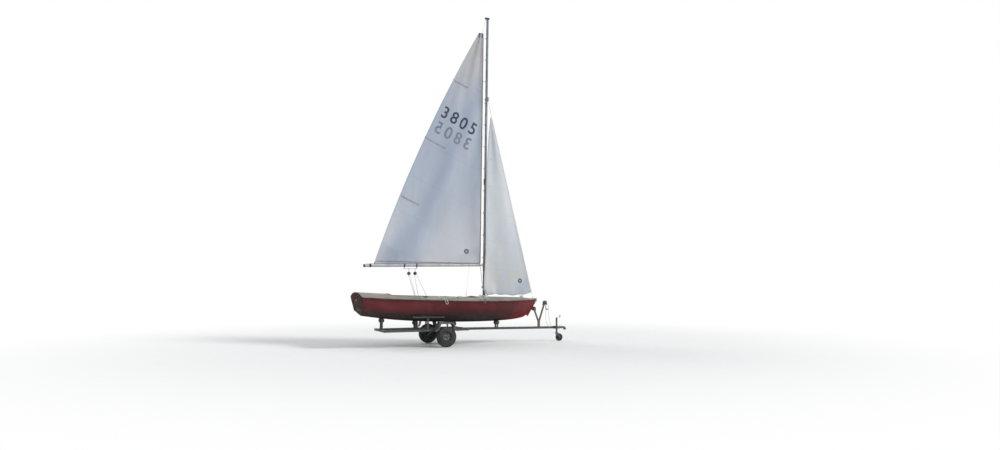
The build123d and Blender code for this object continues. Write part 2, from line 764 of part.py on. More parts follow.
# Wheel rows: radius, place outwards along the axle; round the outer face and back along the inner one
WHEEL_ROWS = [
    (0.0, 42.0), (hub_cap_radius - 6, 40.0), (hub_cap_radius, 34.0), (hub_cap_radius, 14.0),
    (62.0, 14.0), (78.0, 26.0), (96.0, 26.0), (barrel, 4.0), (barrel, bead + flange),
    (rim_radius + 8, bead + flange), (rim_radius + 8, bead), (rim_radius, bead),
    (rim_radius, -bead), (rim_radius + 8, -bead), (rim_radius + 8, -bead - flange),
    (barrel, -bead - flange), (barrel, -4.0), (94.0, 20.0), (80.0, 20.0), (64.0, 8.0),
    (hub_radius, 8.0), (hub_radius, -40.0), (hub_bore, -40.0), (hub_bore, -12.0), (0.0, -12.0),
]
for side, label in ((1, "left"), (-1, "right")):
    hub = (axle_x, side * track_half, tyre_radius)
    tyre_rows = [(rim_radius + rise, share * tyre_width / 2) for rise, share in TYRE_ROWS]
    keep("tyre_" + label, tidy(turned(tyre_rows, hub, side)))
    keep("rim_" + label, tidy(turned(WHEEL_ROWS, hub, side, halves=False)))


def bent_plate(bends, depth):
    """Side face of a plate bent at these points, that deep below them."""
    corners = [Vector(guard_x + x, 0, z) for x, z in bends]
    runs = [(end - start).normalized() for start, end in zip(corners, corners[1:])]
    inward = [Vector(run.Z, 0, -run.X) for run in runs]
    under = []
    for corner, before, after in zip(corners, inward[:1] + inward, inward + inward[-1:]):
        under.append(corner + (before + after) * (depth / (1 + before.dot(after))))
    return Face(Wire.make_polygon(corners + under[::-1], close=True))


# Mudguards: bent plates with a turned-down outer lip
guard_x = axle_x + mudguard_ahead
guards = []
lip_y = track_half + mudguard_half_width - mudguard_plate / 2
for side in (1, -1):
    plate = extrude(bent_plate(MUDGUARD_BENDS, mudguard_plate), mudguard_half_width, both=True)
    lip = extrude(bent_plate(MUDGUARD_BENDS, mudguard_lip), mudguard_plate / 2, both=True)
    guards.append(tidy(Pos(0, side * track_half, 0) * plate + Pos(0, side * lip_y, 0) * lip))
keep("mudguards", Compound(guards))
guard_stays = []
under_guard = max(z for _, z in MUDGUARD_BENDS) - mudguard_plate
inner_y = rail_y + rail_tube / 2
outer_y = track_half - mudguard_half_width + mudguard_stay_width
for side in (1, -1):
    for x in (guard_x - mudguard_stay_half, guard_x + mudguard_stay_half):
        x0, x1 = x - mudguard_stay_width / 2, x + mudguard_stay_width / 2
        upright = block(x0, x1, inner_y, inner_y + mudguard_stay_plate, frame_z - rail_tube / 2, under_guard)
        foot = block(x0, x1, inner_y, outer_y, under_guard - mudguard_stay_plate, under_guard)
        stay = tidy(upright + foot)
        guard_stays.append(stay if side == 1 else mirrored(stay))
keep("mudguard_stays", Compound(guard_stays))

# Bunks under the bottom panels and their posts
mid_section = SECTIONS[2]
deadrise = math.degrees(math.atan2(mid_section.chine_up, mid_section.chine_half))
bunks = []
posts = []
for side in (1, -1):
    bottom_z = height_at(NODES["hull_bottom"], bunk_post_x, rail_y, top=False)
    plank_middle = ((bunk_front_x + bunk_rear_x) / 2, rail_y, bottom_z - bunk_thick / 2 + bunk_bed)
    plank = Pos(*plank_middle) * Rot(deadrise, 0, 0) * Box(bunk_front_x - bunk_rear_x, bunk_width, bunk_thick)
    plank = tidy(plank - outside)
    post_top = height_at(plank, bunk_post_x, rail_y, top=False) + bunk_thick / 2
    post = block(bunk_post_x - bunk_post_half, bunk_post_x + bunk_post_half, rail_y - bunk_post_half,
                 rail_y + bunk_post_half, frame_z + rail_tube / 2, post_top)
    post = tidy(post - plank)
    bunks.append(plank if side == 1 else mirrored(plank))
    posts.append(post if side == 1 else mirrored(post))
keep("bunks", Compound(bunks))
keep("bunk_posts", Compound(posts))

# Keel rollers
roller_half = roller_width / 2
rollers = []
roller_brackets = []
for x in ROLLER_X:
    keel_low = height_at(NODES["keel_batten"], x, keel_batten_half - 3, top=False)
    centre = (x, 0, keel_low - roller_radius - seat_gap)
    roller_rows = [(roller_pin, roller_half), (roller_radius + roller_flare, roller_half),
                   (roller_radius, roller_half * 0.45)]
    rollers.append(tidy(turned(roller_rows, centre)))
    saddle_z = drawbar_top(x - bracket_half)
    cheeks = rod((x, -roller_half - 10, centre[2]), (x, roller_half + 10, centre[2]), roller_pin)
    for side in (1, -1):
        near, far = sorted((side * (roller_half + 1), side * (roller_half + 1 + bracket_plate)))
        cheeks += block(x - bracket_half, x + bracket_half, near, far, saddle_z, centre[2] + 2 * roller_pin)
    reach = roller_half + 1 + bracket_plate
    cheeks += block(x - bracket_half, x + bracket_half, -reach, reach, saddle_z, saddle_z + bracket_plate)
    roller_brackets.append(tidy(cheeks))
keep("keel_rollers", Compound(rollers))
keep("roller_brackets", Compound(roller_brackets))

# Winch post: a forked upright with the bow snubber on one arm and the winch on the other
snub_up = (snubber_z - stem_section.keel.Z) / stem_section.up.Z
snub_x = stem_section.point(0, snub_up).X + (stem_depth + snubber_radius) / ahead.X + 1
post_foot_z = drawbar_top(post_x - post_deep / 2)
winch_floor_z = winch_z - winch_height
fork_half = snubber_half + bracket_plate + 2
fork_low_z = snubber_z - snubber_radius - 15
shelf_half = winch_half + 8
upright = beam((post_x, 0, post_foot_z), (post_x, 0, post_split_z + 20), post_across, post_deep)
arm_aft = beam((post_x - 5, 0, post_split_z), (snub_x + 30, 0, fork_low_z + 5), arm_across, arm_deep)
arm_fore = beam((post_x + 5, 0, post_split_z), (winch_x - 30, 0, winch_floor_z), arm_across, arm_deep)
over_shelf = block(winch_x - 200, winch_x + 200, -90, 90, winch_floor_z, winch_floor_z + 200)
shelf_low = winch_floor_z - bracket_plate
shelf = block(winch_x - 70, winch_x + 50, -shelf_half, shelf_half, shelf_low, winch_floor_z)
fork = block(snub_x + 5, snub_x + 50, -fork_half, fork_half, fork_low_z - bracket_plate, fork_low_z + 4)
for side in (1, -1):
    near, far = sorted((side * (fork_half - bracket_plate), side * fork_half))
    fork += block(snub_x - 15, snub_x + 50, near, far, fork_low_z, snubber_z + 15)
snub_pin = rod((snub_x, -fork_half - 2, snubber_z), (snub_x, fork_half + 2, snubber_z), snubber_pin)
keep("winch_post", tidy(upright + arm_aft + (arm_fore - over_shelf) + shelf + fork + snub_pin))
snub_waist = (snubber_radius, snubber_half * 0.4)
snub_rows = [(snubber_pin, snubber_half), (snubber_radius + 10, snubber_half), snub_waist]
keep("bow_snubber", tidy(turned(snub_rows, (snub_x, 0, snubber_z))))

# Winch: two cheek plates, drum, gear wheel and crank
cheek_top = winch_z + 45
base_top = winch_floor_z + winch_plate
drum_half = winch_half - winch_plate
winch = rod((winch_x, -drum_half, winch_z), (winch_x, drum_half, winch_z), drum_radius)
winch += block(winch_x - 55, winch_x + 45, -winch_half, winch_half, winch_floor_z, base_top)
for side in (1, -1):
    y = side * (winch_half - winch_plate / 2)
    cheek_corners = [(-55, winch_floor_z), (45, winch_floor_z), (38, winch_z + 20), (15, cheek_top),
                     (-15, cheek_top), (-38, winch_z + 20)]
    cheek = Face(Wire.make_polygon([Vector(winch_x + x, y, z) for x, z in cheek_corners], close=True))
    winch += extrude(cheek, winch_plate / 2, both=True)
gear_y = -winch_half - winch_plate
winch += rod((winch_x, gear_y, winch_z), (winch_x, gear_y + winch_plate - 1, winch_z), gear_radius)
crank_y = -winch_half - 4 * winch_plate
winch += rod((winch_x, crank_y, winch_z), (winch_x, winch_half + 10, winch_z), 9.0)
grip_z = winch_z - crank_length
winch += block(winch_x - 12, winch_x + 12, crank_y, crank_y + winch_plate, grip_z - 12, winch_z + 14)
winch += rod((winch_x, crank_y, grip_z), (winch_x, crank_y - grip_length, grip_z), 15.0)
keep("winch", tidy(winch))
strap_start = (winch_x - 2, 0, winch_z + drum_radius + strap_thick / 2 + seat_gap)
strap_end = (stem_head.X + stem_depth + 4, 0, stem_head.Z - 40)
keep("winch_strap", beam(strap_start, strap_end, strap_width, strap_thick))

# Coupling: shank clamped on the drawbar's end, pressed head over the tow ball, lever on top
nose_z = drawbar_z(coupling_front_x - head_radius)
ball = (coupling_front_x - head_radius, 0, nose_z - head_drop)
shank_top = drawbar_top(spine_front_x - shank_lap)
grip_half = spine_tube / 2 + 4.5
shank_low = drawbar_z(spine_front_x) - spine_tube / 2 - 4
grip_rear_x = spine_front_x - shank_lap
grip_front_x = spine_front_x + 20
grip_top = shank_top + 6
coupling = block(grip_rear_x, grip_front_x, -grip_half, grip_half, shank_top, grip_top)
for side in (1, -1):
    near, far = sorted((side * (spine_tube / 2 + seat_gap), side * grip_half))
    coupling += block(grip_rear_x, grip_front_x, near, far, shank_low, grip_top)
coupling += block(spine_front_x + 1, grip_front_x, -grip_half, grip_half, shank_low, grip_top)


def bar_along(rows):
    """Tapering bar along X from rows of x, half width, low z and high z."""
    wires = []
    for x, half, low, high in rows:
        corners = [Vector(x, -half, low), Vector(x, half, low), Vector(x, half, high), Vector(x, -half, high)]
        wires.append(Wire.make_polygon(corners, close=True))
    return ruled(wires)


coupling += bar_along([
    (spine_front_x + 15, 30, shank_low + 6, shank_top),
    (ball[0] - 55, 24, nose_z - 24, nose_z + 20),
    (ball[0] + 10, 24, nose_z - 24, nose_z + 16),
])
coupling += Pos(*ball) * Sphere(head_radius)
coupling += Pos(ball[0], 0, ball[2] - 8) * Cylinder(head_radius, 16)
coupling += bar_along([
    (ball[0] - 165, 12, nose_z + 42, nose_z + 51),
    (ball[0] - 70, 15, nose_z + 26, nose_z + 35),
    (ball[0] - 20, 17, nose_z + 12, nose_z + 21),
])
cup = Pos(*ball) * Sphere(ball_radius) + Pos(ball[0], 0, ball[2] - 30) * Cylinder(ball_radius, 60)
below_rim = block(ball[0] - 90, ball[0] + 90, -90, 90, 100, ball[2] - 16)
keep("coupling", tidy(coupling - cup - below_rim))

# Jockey wheel on its clamp beside the drawbar
jockey_head_z = drawbar_z(jockey_x)
tube_low = jockey_wheel_radius * 2 + 30
tube_top = jockey_head_z + jockey_tube_above
clamp = block(jockey_x - 30, jockey_x + 30, jockey_y - 32, -grip_half, jockey_head_z - 28, jockey_head_z + 28)
jockey_tube = rod((jockey_x, jockey_y, tube_low), (jockey_x, jockey_y, tube_top), jockey_tube_radius)
keep("jockey_clamp", tidy(clamp - jockey_tube))
crank = rod((jockey_x, jockey_y, tube_top), (jockey_x, jockey_y, tube_top + 22), 8.0)
grip_x = jockey_x + jockey_crank
crank += block(jockey_x - 8, grip_x + 8, jockey_y - 8, jockey_y + 8, tube_top + 18, tube_top + 26)
crank += rod((grip_x, jockey_y, tube_top + 24), (grip_x, jockey_y, tube_top + 90), 10.0)
collar = rod((jockey_x, jockey_y, tube_top - 24), (jockey_x, jockey_y, tube_top + 4), jockey_tube_radius + 4)
keep("jockey_tube", tidy(jockey_tube + collar + crank))
fork_top = tube_low - 5
wheel_half = jockey_wheel_width / 2
arm_inner = wheel_half + turn_gap
fork_corners = [
    (-35, fork_top - 8), (35, fork_top - 8),
    (jockey_trail + 16, jockey_wheel_radius - 14), (jockey_trail - 16, jockey_wheel_radius - 14),
]
arm_outer = arm_inner + fork_plate
fork = block(jockey_x - 35, jockey_x + 35, jockey_y - arm_outer, jockey_y + arm_outer, fork_top - 8, fork_top)
for side in (1, -1):
    y = jockey_y + side * (arm_inner + fork_plate / 2)
    fork_arm = Face(Wire.make_polygon([Vector(jockey_x + x, y, z) for x, z in fork_corners], close=True))
    fork += extrude(fork_arm, fork_plate / 2, both=True)
trail_x = jockey_x + jockey_trail
near, far = jockey_y - arm_inner - 12, jockey_y + arm_inner + 12
fork += rod((trail_x, near, jockey_wheel_radius), (trail_x, far, jockey_wheel_radius), jockey_pin)
keep("jockey_fork", tidy(fork))
tread = jockey_wheel_radius
jockey_rows = [
    (jockey_pin + pin_gap, wheel_half), (tread * 0.3, wheel_half), (tread * 0.34, 10.0), (tread - 30, 10.0),
    (tread - 26, wheel_half - 4), (tread - 8, wheel_half - 4), (tread, wheel_half * 0.5),
]
keep("jockey_wheel", tidy(turned(jockey_rows, (trail_x, jockey_y, tread))))

boxes = [shape.bounding_box() for shape in NODES.values()]
frame_shift = -(min(box.min.X for box in boxes) + max(box.max.X for box in boxes)) / 2
os.makedirs("parts", exist_ok=True)
for name, shape in NODES.items():
    export_step(Pos(frame_shift, 0, 0) * shape, os.path.join("parts", name + ".step"))
print("frame shift", frame_shift, "boom pivot", *pivot, "nodes", len(NODES))
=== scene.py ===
import json
import math

import bmesh
import bpy
from mathutils import Matrix, Vector, noise
from mathutils.bvhtree import BVHTree


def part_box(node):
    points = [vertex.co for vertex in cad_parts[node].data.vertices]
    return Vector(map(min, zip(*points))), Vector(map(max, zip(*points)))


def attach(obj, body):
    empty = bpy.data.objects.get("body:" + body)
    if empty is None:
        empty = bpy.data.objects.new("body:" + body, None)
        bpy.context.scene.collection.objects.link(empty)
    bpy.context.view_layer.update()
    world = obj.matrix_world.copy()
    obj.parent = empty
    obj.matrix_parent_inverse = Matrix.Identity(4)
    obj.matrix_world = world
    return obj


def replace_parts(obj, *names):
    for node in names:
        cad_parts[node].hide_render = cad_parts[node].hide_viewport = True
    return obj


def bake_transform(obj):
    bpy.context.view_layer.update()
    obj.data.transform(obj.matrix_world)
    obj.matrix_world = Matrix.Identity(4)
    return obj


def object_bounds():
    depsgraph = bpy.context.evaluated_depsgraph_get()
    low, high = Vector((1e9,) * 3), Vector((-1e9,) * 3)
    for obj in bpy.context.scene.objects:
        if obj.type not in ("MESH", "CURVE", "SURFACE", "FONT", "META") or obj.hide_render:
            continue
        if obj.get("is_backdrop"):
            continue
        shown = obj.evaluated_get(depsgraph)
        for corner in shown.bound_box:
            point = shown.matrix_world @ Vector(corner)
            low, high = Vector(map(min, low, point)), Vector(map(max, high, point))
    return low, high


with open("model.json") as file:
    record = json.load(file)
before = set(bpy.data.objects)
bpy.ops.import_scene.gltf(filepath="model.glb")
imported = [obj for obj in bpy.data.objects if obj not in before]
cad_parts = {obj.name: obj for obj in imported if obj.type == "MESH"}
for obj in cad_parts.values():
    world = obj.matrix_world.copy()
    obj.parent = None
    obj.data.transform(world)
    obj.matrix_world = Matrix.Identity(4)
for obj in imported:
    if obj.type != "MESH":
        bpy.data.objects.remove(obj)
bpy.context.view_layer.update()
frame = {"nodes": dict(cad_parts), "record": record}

nodes = frame["nodes"]
scene = bpy.context.scene
scene.view_settings.view_transform = "Standard"

X, Y, Z = Vector((1, 0, 0)), Vector((0, 1, 0)), Vector((0, 0, 1))
STARBOARD, PORT = -1, 1
SIDES = (STARBOARD, PORT)
WHITE = (1, 1, 1, 1)


def surface(*names):
    """Ray target made of these CAD nodes."""
    verts, faces = [], []
    for name in names:
        mesh = nodes[name].data
        start = len(verts)
        verts += [v.co.copy() for v in mesh.vertices]
        faces += [[start + i for i in polygon.vertices] for polygon in mesh.polygons]
    return BVHTree.FromPolygons(verts, faces)


def meets(target, start, way):
    """Where a ray meets a surface, and the surface's normal there."""
    place, normal, _, _ = target.ray_cast(Vector(start), Vector(way))
    if place is None:
        raise SystemExit("ray from %s along %s misses" % (tuple(start), tuple(way)))
    if normal.dot(Vector(way)) > 0:
        normal = -normal
    return place, normal


def plumb(target, x, y):
    """Where a plumb line meets a surface from above, and the normal there."""
    return meets(target, (x, y, 2.0), -Z)


def inward(target, x, z, side, start=0.3):
    """First point of a surface met from one side, level and square to the boat, or None."""
    return target.ray_cast(Vector((x, side * start, z)), Vector((0, -side, 0)))[0]


def linear(paint, share=1.0):
    """Scene colour of a paint given as 0 to 255, at a share of its brightness."""
    parts = [value / 255 for value in paint]
    parts = [value / 12.92 if value <= 0.04045 else ((value + 0.055) / 1.055) ** 2.4 for value in parts]
    return (*(value * share for value in parts), 1.0)


def link(tree, source, target):
    """Feed a node's input with a value or with another node's output."""
    if isinstance(source, bpy.types.NodeSocket):
        tree.links.new(source, target)
    else:
        target.default_value = source


def add_node(tree, kind, inputs=(), **settings):
    """New shader node with its settings and its inputs."""
    node = tree.nodes.new("ShaderNode" + kind)
    for name, value in settings.items():
        setattr(node, name, value)
    for socket, source in dict(inputs).items():
        link(tree, source, node.inputs[socket])
    return node


class Finish:
    """A procedural material: one Principled shader and short calls for the nodes that feed it.

    Tones are paints of three parts, scene colours of four, or other nodes' outputs.
    """

    made = {}

    def __init__(self, name, roughness=0.5, metallic=0.0, coat=0.0, sheen=0.0, specular=0.5):
        self.material = bpy.data.materials.new(name)
        self.material.use_nodes = True
        self.tree = self.material.node_tree
        self.shader = self.tree.nodes["Principled BSDF"]
        settings = {"Base Color": (0.5, 0.5, 0.5, 1), "Roughness": roughness, "Metallic": metallic,
                    "Coat Weight": coat, "Coat Roughness": 0.25, "Sheen Weight": sheen,
                    "Specular IOR Level": specular}
        for socket, value in settings.items():
            self.shader.inputs[socket].default_value = value
        self.place = self.node("TexCoord").outputs["Object"]
        Finish.made[name] = self

    def node(self, kind, inputs=(), **settings):
        return add_node(self.tree, kind, inputs, **settings)

    def drawn(self, stretch):
        """Object coordinates, drawn out along the axes if asked."""
        if stretch is None:
            return self.place
        return self.node("Mapping", {"Vector": self.place, "Scale": stretch}).outputs["Vector"]

    def noise(self, scale, detail=4.0, rough=0.55, stretch=None, distortion=0.0):
        inputs = {"Vector": self.drawn(stretch), "Scale": scale, "Detail": detail, "Roughness": rough,
                  "Distortion": distortion}
        return self.node("TexNoise", inputs).outputs["Fac"]

    def cells(self, scale):
        return self.node("TexVoronoi", {"Vector": self.place, "Scale": scale}).outputs["Distance"]

    def waves(self, scale, along="X", distortion=0.0, detail=2.0, stretch=None):
        inputs = {"Vector": self.drawn(stretch), "Scale": scale, "Distortion": distortion, "Detail": detail,
                  "Detail Scale": 1.5}
        return self.node("TexWave", inputs, bands_direction=along).outputs["Fac"]

    def axis(self, letter, source=None):
        return self.node("SeparateXYZ", {0: source or self.place}).outputs[letter]

    def span(self, source, low, high, out_low=0.0, out_high=1.0):
        """How far a value has come from low to high, with soft ends."""
        inputs = {"Value": source, "From Min": low, "From Max": high, "To Min": out_low, "To Max": out_high}
        return self.node("MapRange", inputs, interpolation_type="SMOOTHSTEP").outputs["Result"]

    def maths(self, operation, first, second=0.0):
        return self.node("Math", {0: first, 1: second}, operation=operation).outputs[0]

    def times(self, first, second):
        return self.maths("MULTIPLY", first, second)

    def plus(self, first, second):
        return self.maths("ADD", first, second)

    def mix(self, share, *tones):
        """One tone going over into another."""
        first, second = [linear(t) if isinstance(t, tuple) and len(t) == 3 else t for t in tones]
        inputs = {0: share, 6: first, 7: second}
        return self.node("Mix", inputs, data_type="RGBA", clamp_factor=True).outputs[2]

    def tones(self, source, low, high, first, second):
        """One tone going over into another as a value goes from low to high."""
        return self.mix(self.span(source, low, high), first, second)

    def over(self, base, tone, most, source, low, high):
        """A tone laid over a base as a value goes from low to high, at most so much of it."""
        return self.mix(self.times(self.span(source, low, high), most), base, tone)

    def colour(self, source):
        link(self.tree, source, self.shader.inputs["Base Color"])
        return self

    def rough(self, source, smooth, dull, low=0.3, high=0.7):
        """Roughness between two limits."""
        link(self.tree, self.span(source, low, high, smooth, dull), self.shader.inputs["Roughness"])
        return self

    def metal(self, source):
        link(self.tree, source, self.shader.inputs["Metallic"])
        return self

    def bump(self, height, depth, strength=1.0):
        """Relief of a 0 to 1 height, depth metres deep, over any relief set before."""
        node = self.node("Bump", {"Strength": strength, "Distance": depth, "Height": height})
        normal = self.shader.inputs["Normal"]
        if normal.is_linked:
            link(self.tree, normal.links[0].from_socket, node.inputs["Normal"])
        link(self.tree, node.outputs["Normal"], normal)
        return self


def set_camera():
    """The photographer's place, off the starboard quarter."""
    data = bpy.data.cameras.new("camera")
    data.lens = 27.0
    data.sensor_width = 36.0
    data.clip_end = 500.0
    camera = bpy.data.objects.new("camera", data)
    camera.location = (-7.11508, -18.09, 1.62)
    camera.rotation_euler = (math.radians(94.24), 0, math.radians(-24.0))
    scene.collection.objects.link(camera)
    scene.camera = camera


def background_share(tree):
    """1 for rays that see the background: straight from the camera, in a reflection or through glass."""
    path = add_node(tree, "LightPath")
    share = path.outputs["Is Camera Ray"]
    for other in ("Is Glossy Ray", "Is Transmission Ray"):
        share = add_node(tree, "Math", {0: share, 1: path.outputs[other]}, operation="MAXIMUM").outputs[0]
    return share


def show_mix(tree, output, share, first, second):
    """Send the mix of two shaders to the tree's output."""
    mix = add_node(tree, "MixShader", {0: share, 1: first.outputs[0], 2: second.outputs[0]})
    tree.links.new(mix.outputs[0], tree.nodes[output].inputs["Surface"])


def studio():
    """Pale floor that fades into a white surround, and soft light."""
    world = bpy.data.worlds.new("studio")
    scene.world = world
    world.use_nodes = True
    tree = world.node_tree
    light = tree.nodes["Background"]
    light.inputs["Color"].default_value = (0.94, 0.97, 1.0, 1)
    light.inputs["Strength"].default_value = 0.62
    seen = add_node(tree, "Background", {"Color": WHITE, "Strength": 1.0})
    show_mix(tree, "World Output", background_share(tree), light, seen)

    reach = 220.0
    mesh = bpy.data.meshes.new("floor")
    mesh.from_pydata([(-reach, -reach, 0), (reach, -reach, 0), (reach, reach, 0), (-reach, reach, 0)],
                     [], [(0, 1, 2, 3)])
    floor = bpy.data.objects.new("floor", mesh)
    floor.location.z = -0.002
    scene.collection.objects.link(floor)
    pale = Finish("pale_floor", roughness=0.9)
    pale.colour(pale.mix(pale.noise(3.0, 3.0), (0.80, 0.80, 0.79, 1), (0.85, 0.85, 0.84, 1)))
    glow = pale.node("Emission", {"Color": WHITE})
    length = pale.node("VectorMath", {0: pale.place}, operation="LENGTH").outputs["Value"]
    share = pale.times(pale.span(length, 4.5, 13.0), background_share(pale.tree))
    show_mix(pale.tree, "Material Output", share, pale.shader, glow)
    mesh.materials.append(pale.material)
    floor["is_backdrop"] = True

    for name, strength, spread, turn in (("key", 1.75, 16.0, (52, 0, 50)), ("rim", 0.5, 30.0, (55, 0, 215))):
        lamp = bpy.data.lights.new(name, "SUN")
        lamp.energy = strength
        lamp.angle = math.radians(spread)
        obj = bpy.data.objects.new(name, lamp)
        obj.rotation_euler = [math.radians(a) for a in turn]
        scene.collection.objects.link(obj)


set_camera()
studio()


def lined(f, outside):
    """Colour with worn lining paint on the faces that look into the boat."""
    facing = f.node("TexCoord").outputs["Normal"]
    side = f.times(f.axis("Y", facing), f.axis("Y"))
    level = f.times(f.axis("Z", facing), f.maths("SUBTRACT", f.axis("Z"), 1.15))
    worn = f.tones(f.noise(2.6, 6.0, 0.62), 0.3, 0.72, (104, 93, 82), (134, 124, 112))
    worn = f.over(worn, (78, 66, 56), 0.45, f.noise(7.5, 5.0, 0.7), 0.55, 0.75)
    return f.tones(f.plus(side, level), 0.004, -0.012, outside, worn)


# Hull paint: faded red gloss, worn and streaked, with chips along the lower edge, and painted shade low on
# the topsides and aft on the bottom
f = Finish("topside_paint", roughness=0.5, coat=0.03, specular=0.22)
red = f.tones(f.noise(1.3, 5.0, 0.6, distortion=0.6), 0.32, 0.72, (84, 30, 34), (113, 45, 48))
# Painted shade: the topsides darken towards their lower edge, more so aft
low_painted_shade = f.times(f.span(f.axis("Z"), 1.02, 0.78), f.span(f.axis("X"), 1.5, 0.6, 0.35, 0.85))
red = f.mix(low_painted_shade, red, (50, 25, 27))
red = f.over(red, (86, 40, 38), 0.5, f.noise(9.0, 4.0, 0.6, stretch=(1.6, 1.6, 0.12)), 0.52, 0.78)
chips = f.times(f.span(f.cells(46.0), 0.1, 0.04), f.span(f.noise(2.1, 3.0), 0.52, 0.7))
red = f.mix(f.times(chips, 0.65), red, (170, 152, 136))
red = f.over(red, (150, 52, 50), 0.35, f.axis("X"), 1.1, 1.9)
f.colour(lined(f, red)).rough(f.noise(6.0, 6.0), 0.3, 0.58)
f.bump(f.noise(34.0, 3.0), 0.0009, 0.35).bump(f.noise(3.4, 2.0), 0.006, 0.25)

f = Finish("bottom_paint", roughness=0.82, specular=0.25)
# Painted shade: the bottom is near-black aft and goes over into the hull's own red between x 0.7 and 1.5
# towards the bow
dark = f.tones(f.noise(2.4, 6.0, 0.65), 0.3, 0.75, (40, 30, 31), (60, 44, 43))
bow_red = f.tones(f.noise(1.3, 5.0), 0.3, 0.7, (98, 33, 35), (122, 42, 42))
dark = f.tones(f.axis("X"), 0.7, 1.5, dark, bow_red)
dark = f.over(dark, (92, 82, 76), 0.5, f.noise(14.0, 3.0, stretch=(0.25, 1, 2.2)), 0.6, 0.8)
f.colour(lined(f, dark)).rough(f.noise(11.0, 5.0), 0.66, 0.93)
f.bump(f.noise(60.0, 4.0), 0.0012, 0.5)

f = Finish("deck_paint", roughness=0.7, specular=0.3)
chalk = f.tones(f.noise(1.7, 6.0, 0.62), 0.3, 0.72, (122, 114, 108), (147, 139, 132))
chalk = f.over(chalk, (102, 94, 86), 0.42, f.noise(7.0, 5.0, 0.7, distortion=1.0), 0.55, 0.75)
chalk = f.over(chalk, (104, 92, 78), 0.35, f.cells(62.0), 0.12, 0.03)
f.colour(chalk).rough(f.noise(9.0, 5.0), 0.5, 0.8)
f.bump(f.noise(160.0, 2.0), 0.0004, 0.5).bump(f.noise(2.6, 2.0), 0.004, 0.25)


def wood(name, pale, dark, roughness, coat=0.0, along=(0.6, 9.0, 9.0), specular=0.4, grey=0.4):
    """Grained timber with its rings drawn out along one direction."""
    f = Finish(name, roughness=roughness, coat=coat, specular=specular)
    pores = f.noise(26.0, 5.0, 0.7, stretch=tuple(0.12 if a < 1 else 1.0 for a in along))
    tone = f.tones(f.waves(1.7, "DIAGONAL", 3.2, 3.0, stretch=along), 0.1, 0.9, pale, dark)
    tone = f.over(tone, linear(dark, 0.45), 0.55, pores, 0.5, 0.72)
    tone = f.over(tone, (120, 104, 86), grey, f.noise(1.9, 4.0), 0.5, 0.75)
    f.colour(tone).rough(f.noise(7.0, 4.0), roughness - 0.1, roughness + 0.2).bump(pores, 0.0006, 0.4)


wood("varnished_wood", (156, 104, 58), (112, 68, 36), 0.38, 0.35)
wood("transom_wood", (72, 50, 44), (44, 31, 29), 0.75, along=(9.0, 0.6, 9.0), specular=0.08, grey=0.12)
wood("strake_wood", (84, 62, 52), (54, 40, 36), 0.7, specular=0.15)
wood("bare_ply", (168, 140, 104), (132, 104, 72), 0.62)


def worn_metal(name, base, dull, roughness, metallic=0.85, streak=(1, 1, 1)):
    """Metal with dull patches, and scratches drawn out along one direction."""
    f = Finish(name, roughness=roughness, metallic=metallic)
    scratch = f.noise(40.0, 4.0, 0.6, stretch=streak)
    f.colour(f.tones(f.plus(f.noise(5.0, 6.0, 0.65), f.times(scratch, 0.35)), 0.5, 0.9, base, dull))
    return f.rough(scratch, roughness - 0.1, roughness + 0.16).bump(scratch, 0.0003, 0.35)


worn_metal("spar_alloy", (124, 130, 143), (92, 98, 111), 0.48, 0.7, (1, 1, 0.05))
worn_metal("boom_alloy", (186, 188, 188), (158, 160, 162), 0.5, 0.2, (0.05, 1, 1))
worn_metal("fitting_steel", (176, 176, 174), (128, 126, 122), 0.3)
worn_metal("stained_steel", (104, 86, 80), (76, 58, 54), 0.6, 0.3)
f = worn_metal("bail_steel", (200, 201, 202), (168, 168, 168), 0.42, 0.45)
bright = f.shader.inputs["Base Color"].links[0].from_socket
f.colour(f.tones(f.axis("Z"), 1.952, 1.962, bright, (44, 46, 50)))

f = Finish("galvanised", roughness=0.55, metallic=0.7)
rusty = f.noise(4.0, 6.0, 0.7)
zinc = f.tones(f.cells(90.0), 0.1, 0.7, (106, 109, 112), (82, 85, 88))
f.colour(f.over(zinc, (88, 68, 52), 0.65, rusty, 0.52, 0.72)).rough(f.noise(12.0, 5.0), 0.45, 0.75)
f.metal(f.span(rusty, 0.5, 0.74, 0.72, 0.2)).bump(f.noise(70.0, 4.0), 0.0006, 0.4)

f = Finish("rust_steel", roughness=0.7, metallic=0.45)
rusty = f.noise(5.0, 7.0, 0.72, distortion=0.4)
f.colour(f.tones(rusty, 0.42, 0.62, (104, 98, 92), (104, 74, 54)))
f.metal(f.span(rusty, 0.42, 0.62, 0.6, 0.05)).rough(rusty, 0.55, 0.9, low=0.4)
f.bump(f.noise(60.0, 5.0, 0.7), 0.0008, 0.5)

f = Finish("tyre_rubber", roughness=0.85)
f.colour(f.over((36, 36, 37), (92, 86, 78), 0.6, f.noise(6.0, 6.0, 0.7), 0.4, 0.72))
f.rough(f.noise(40.0, 3.0), 0.75, 0.95).bump(f.noise(220.0, 3.0), 0.0005, 0.5)


def plain(name, roughness, patches, high, first, second, sheen=0.0):
    """Two tones in soft patches, given as the noise's scale and detail."""
    f = Finish(name, roughness=roughness, sheen=sheen)
    return f.colour(f.tones(f.noise(*patches), 0.35, high, first, second))


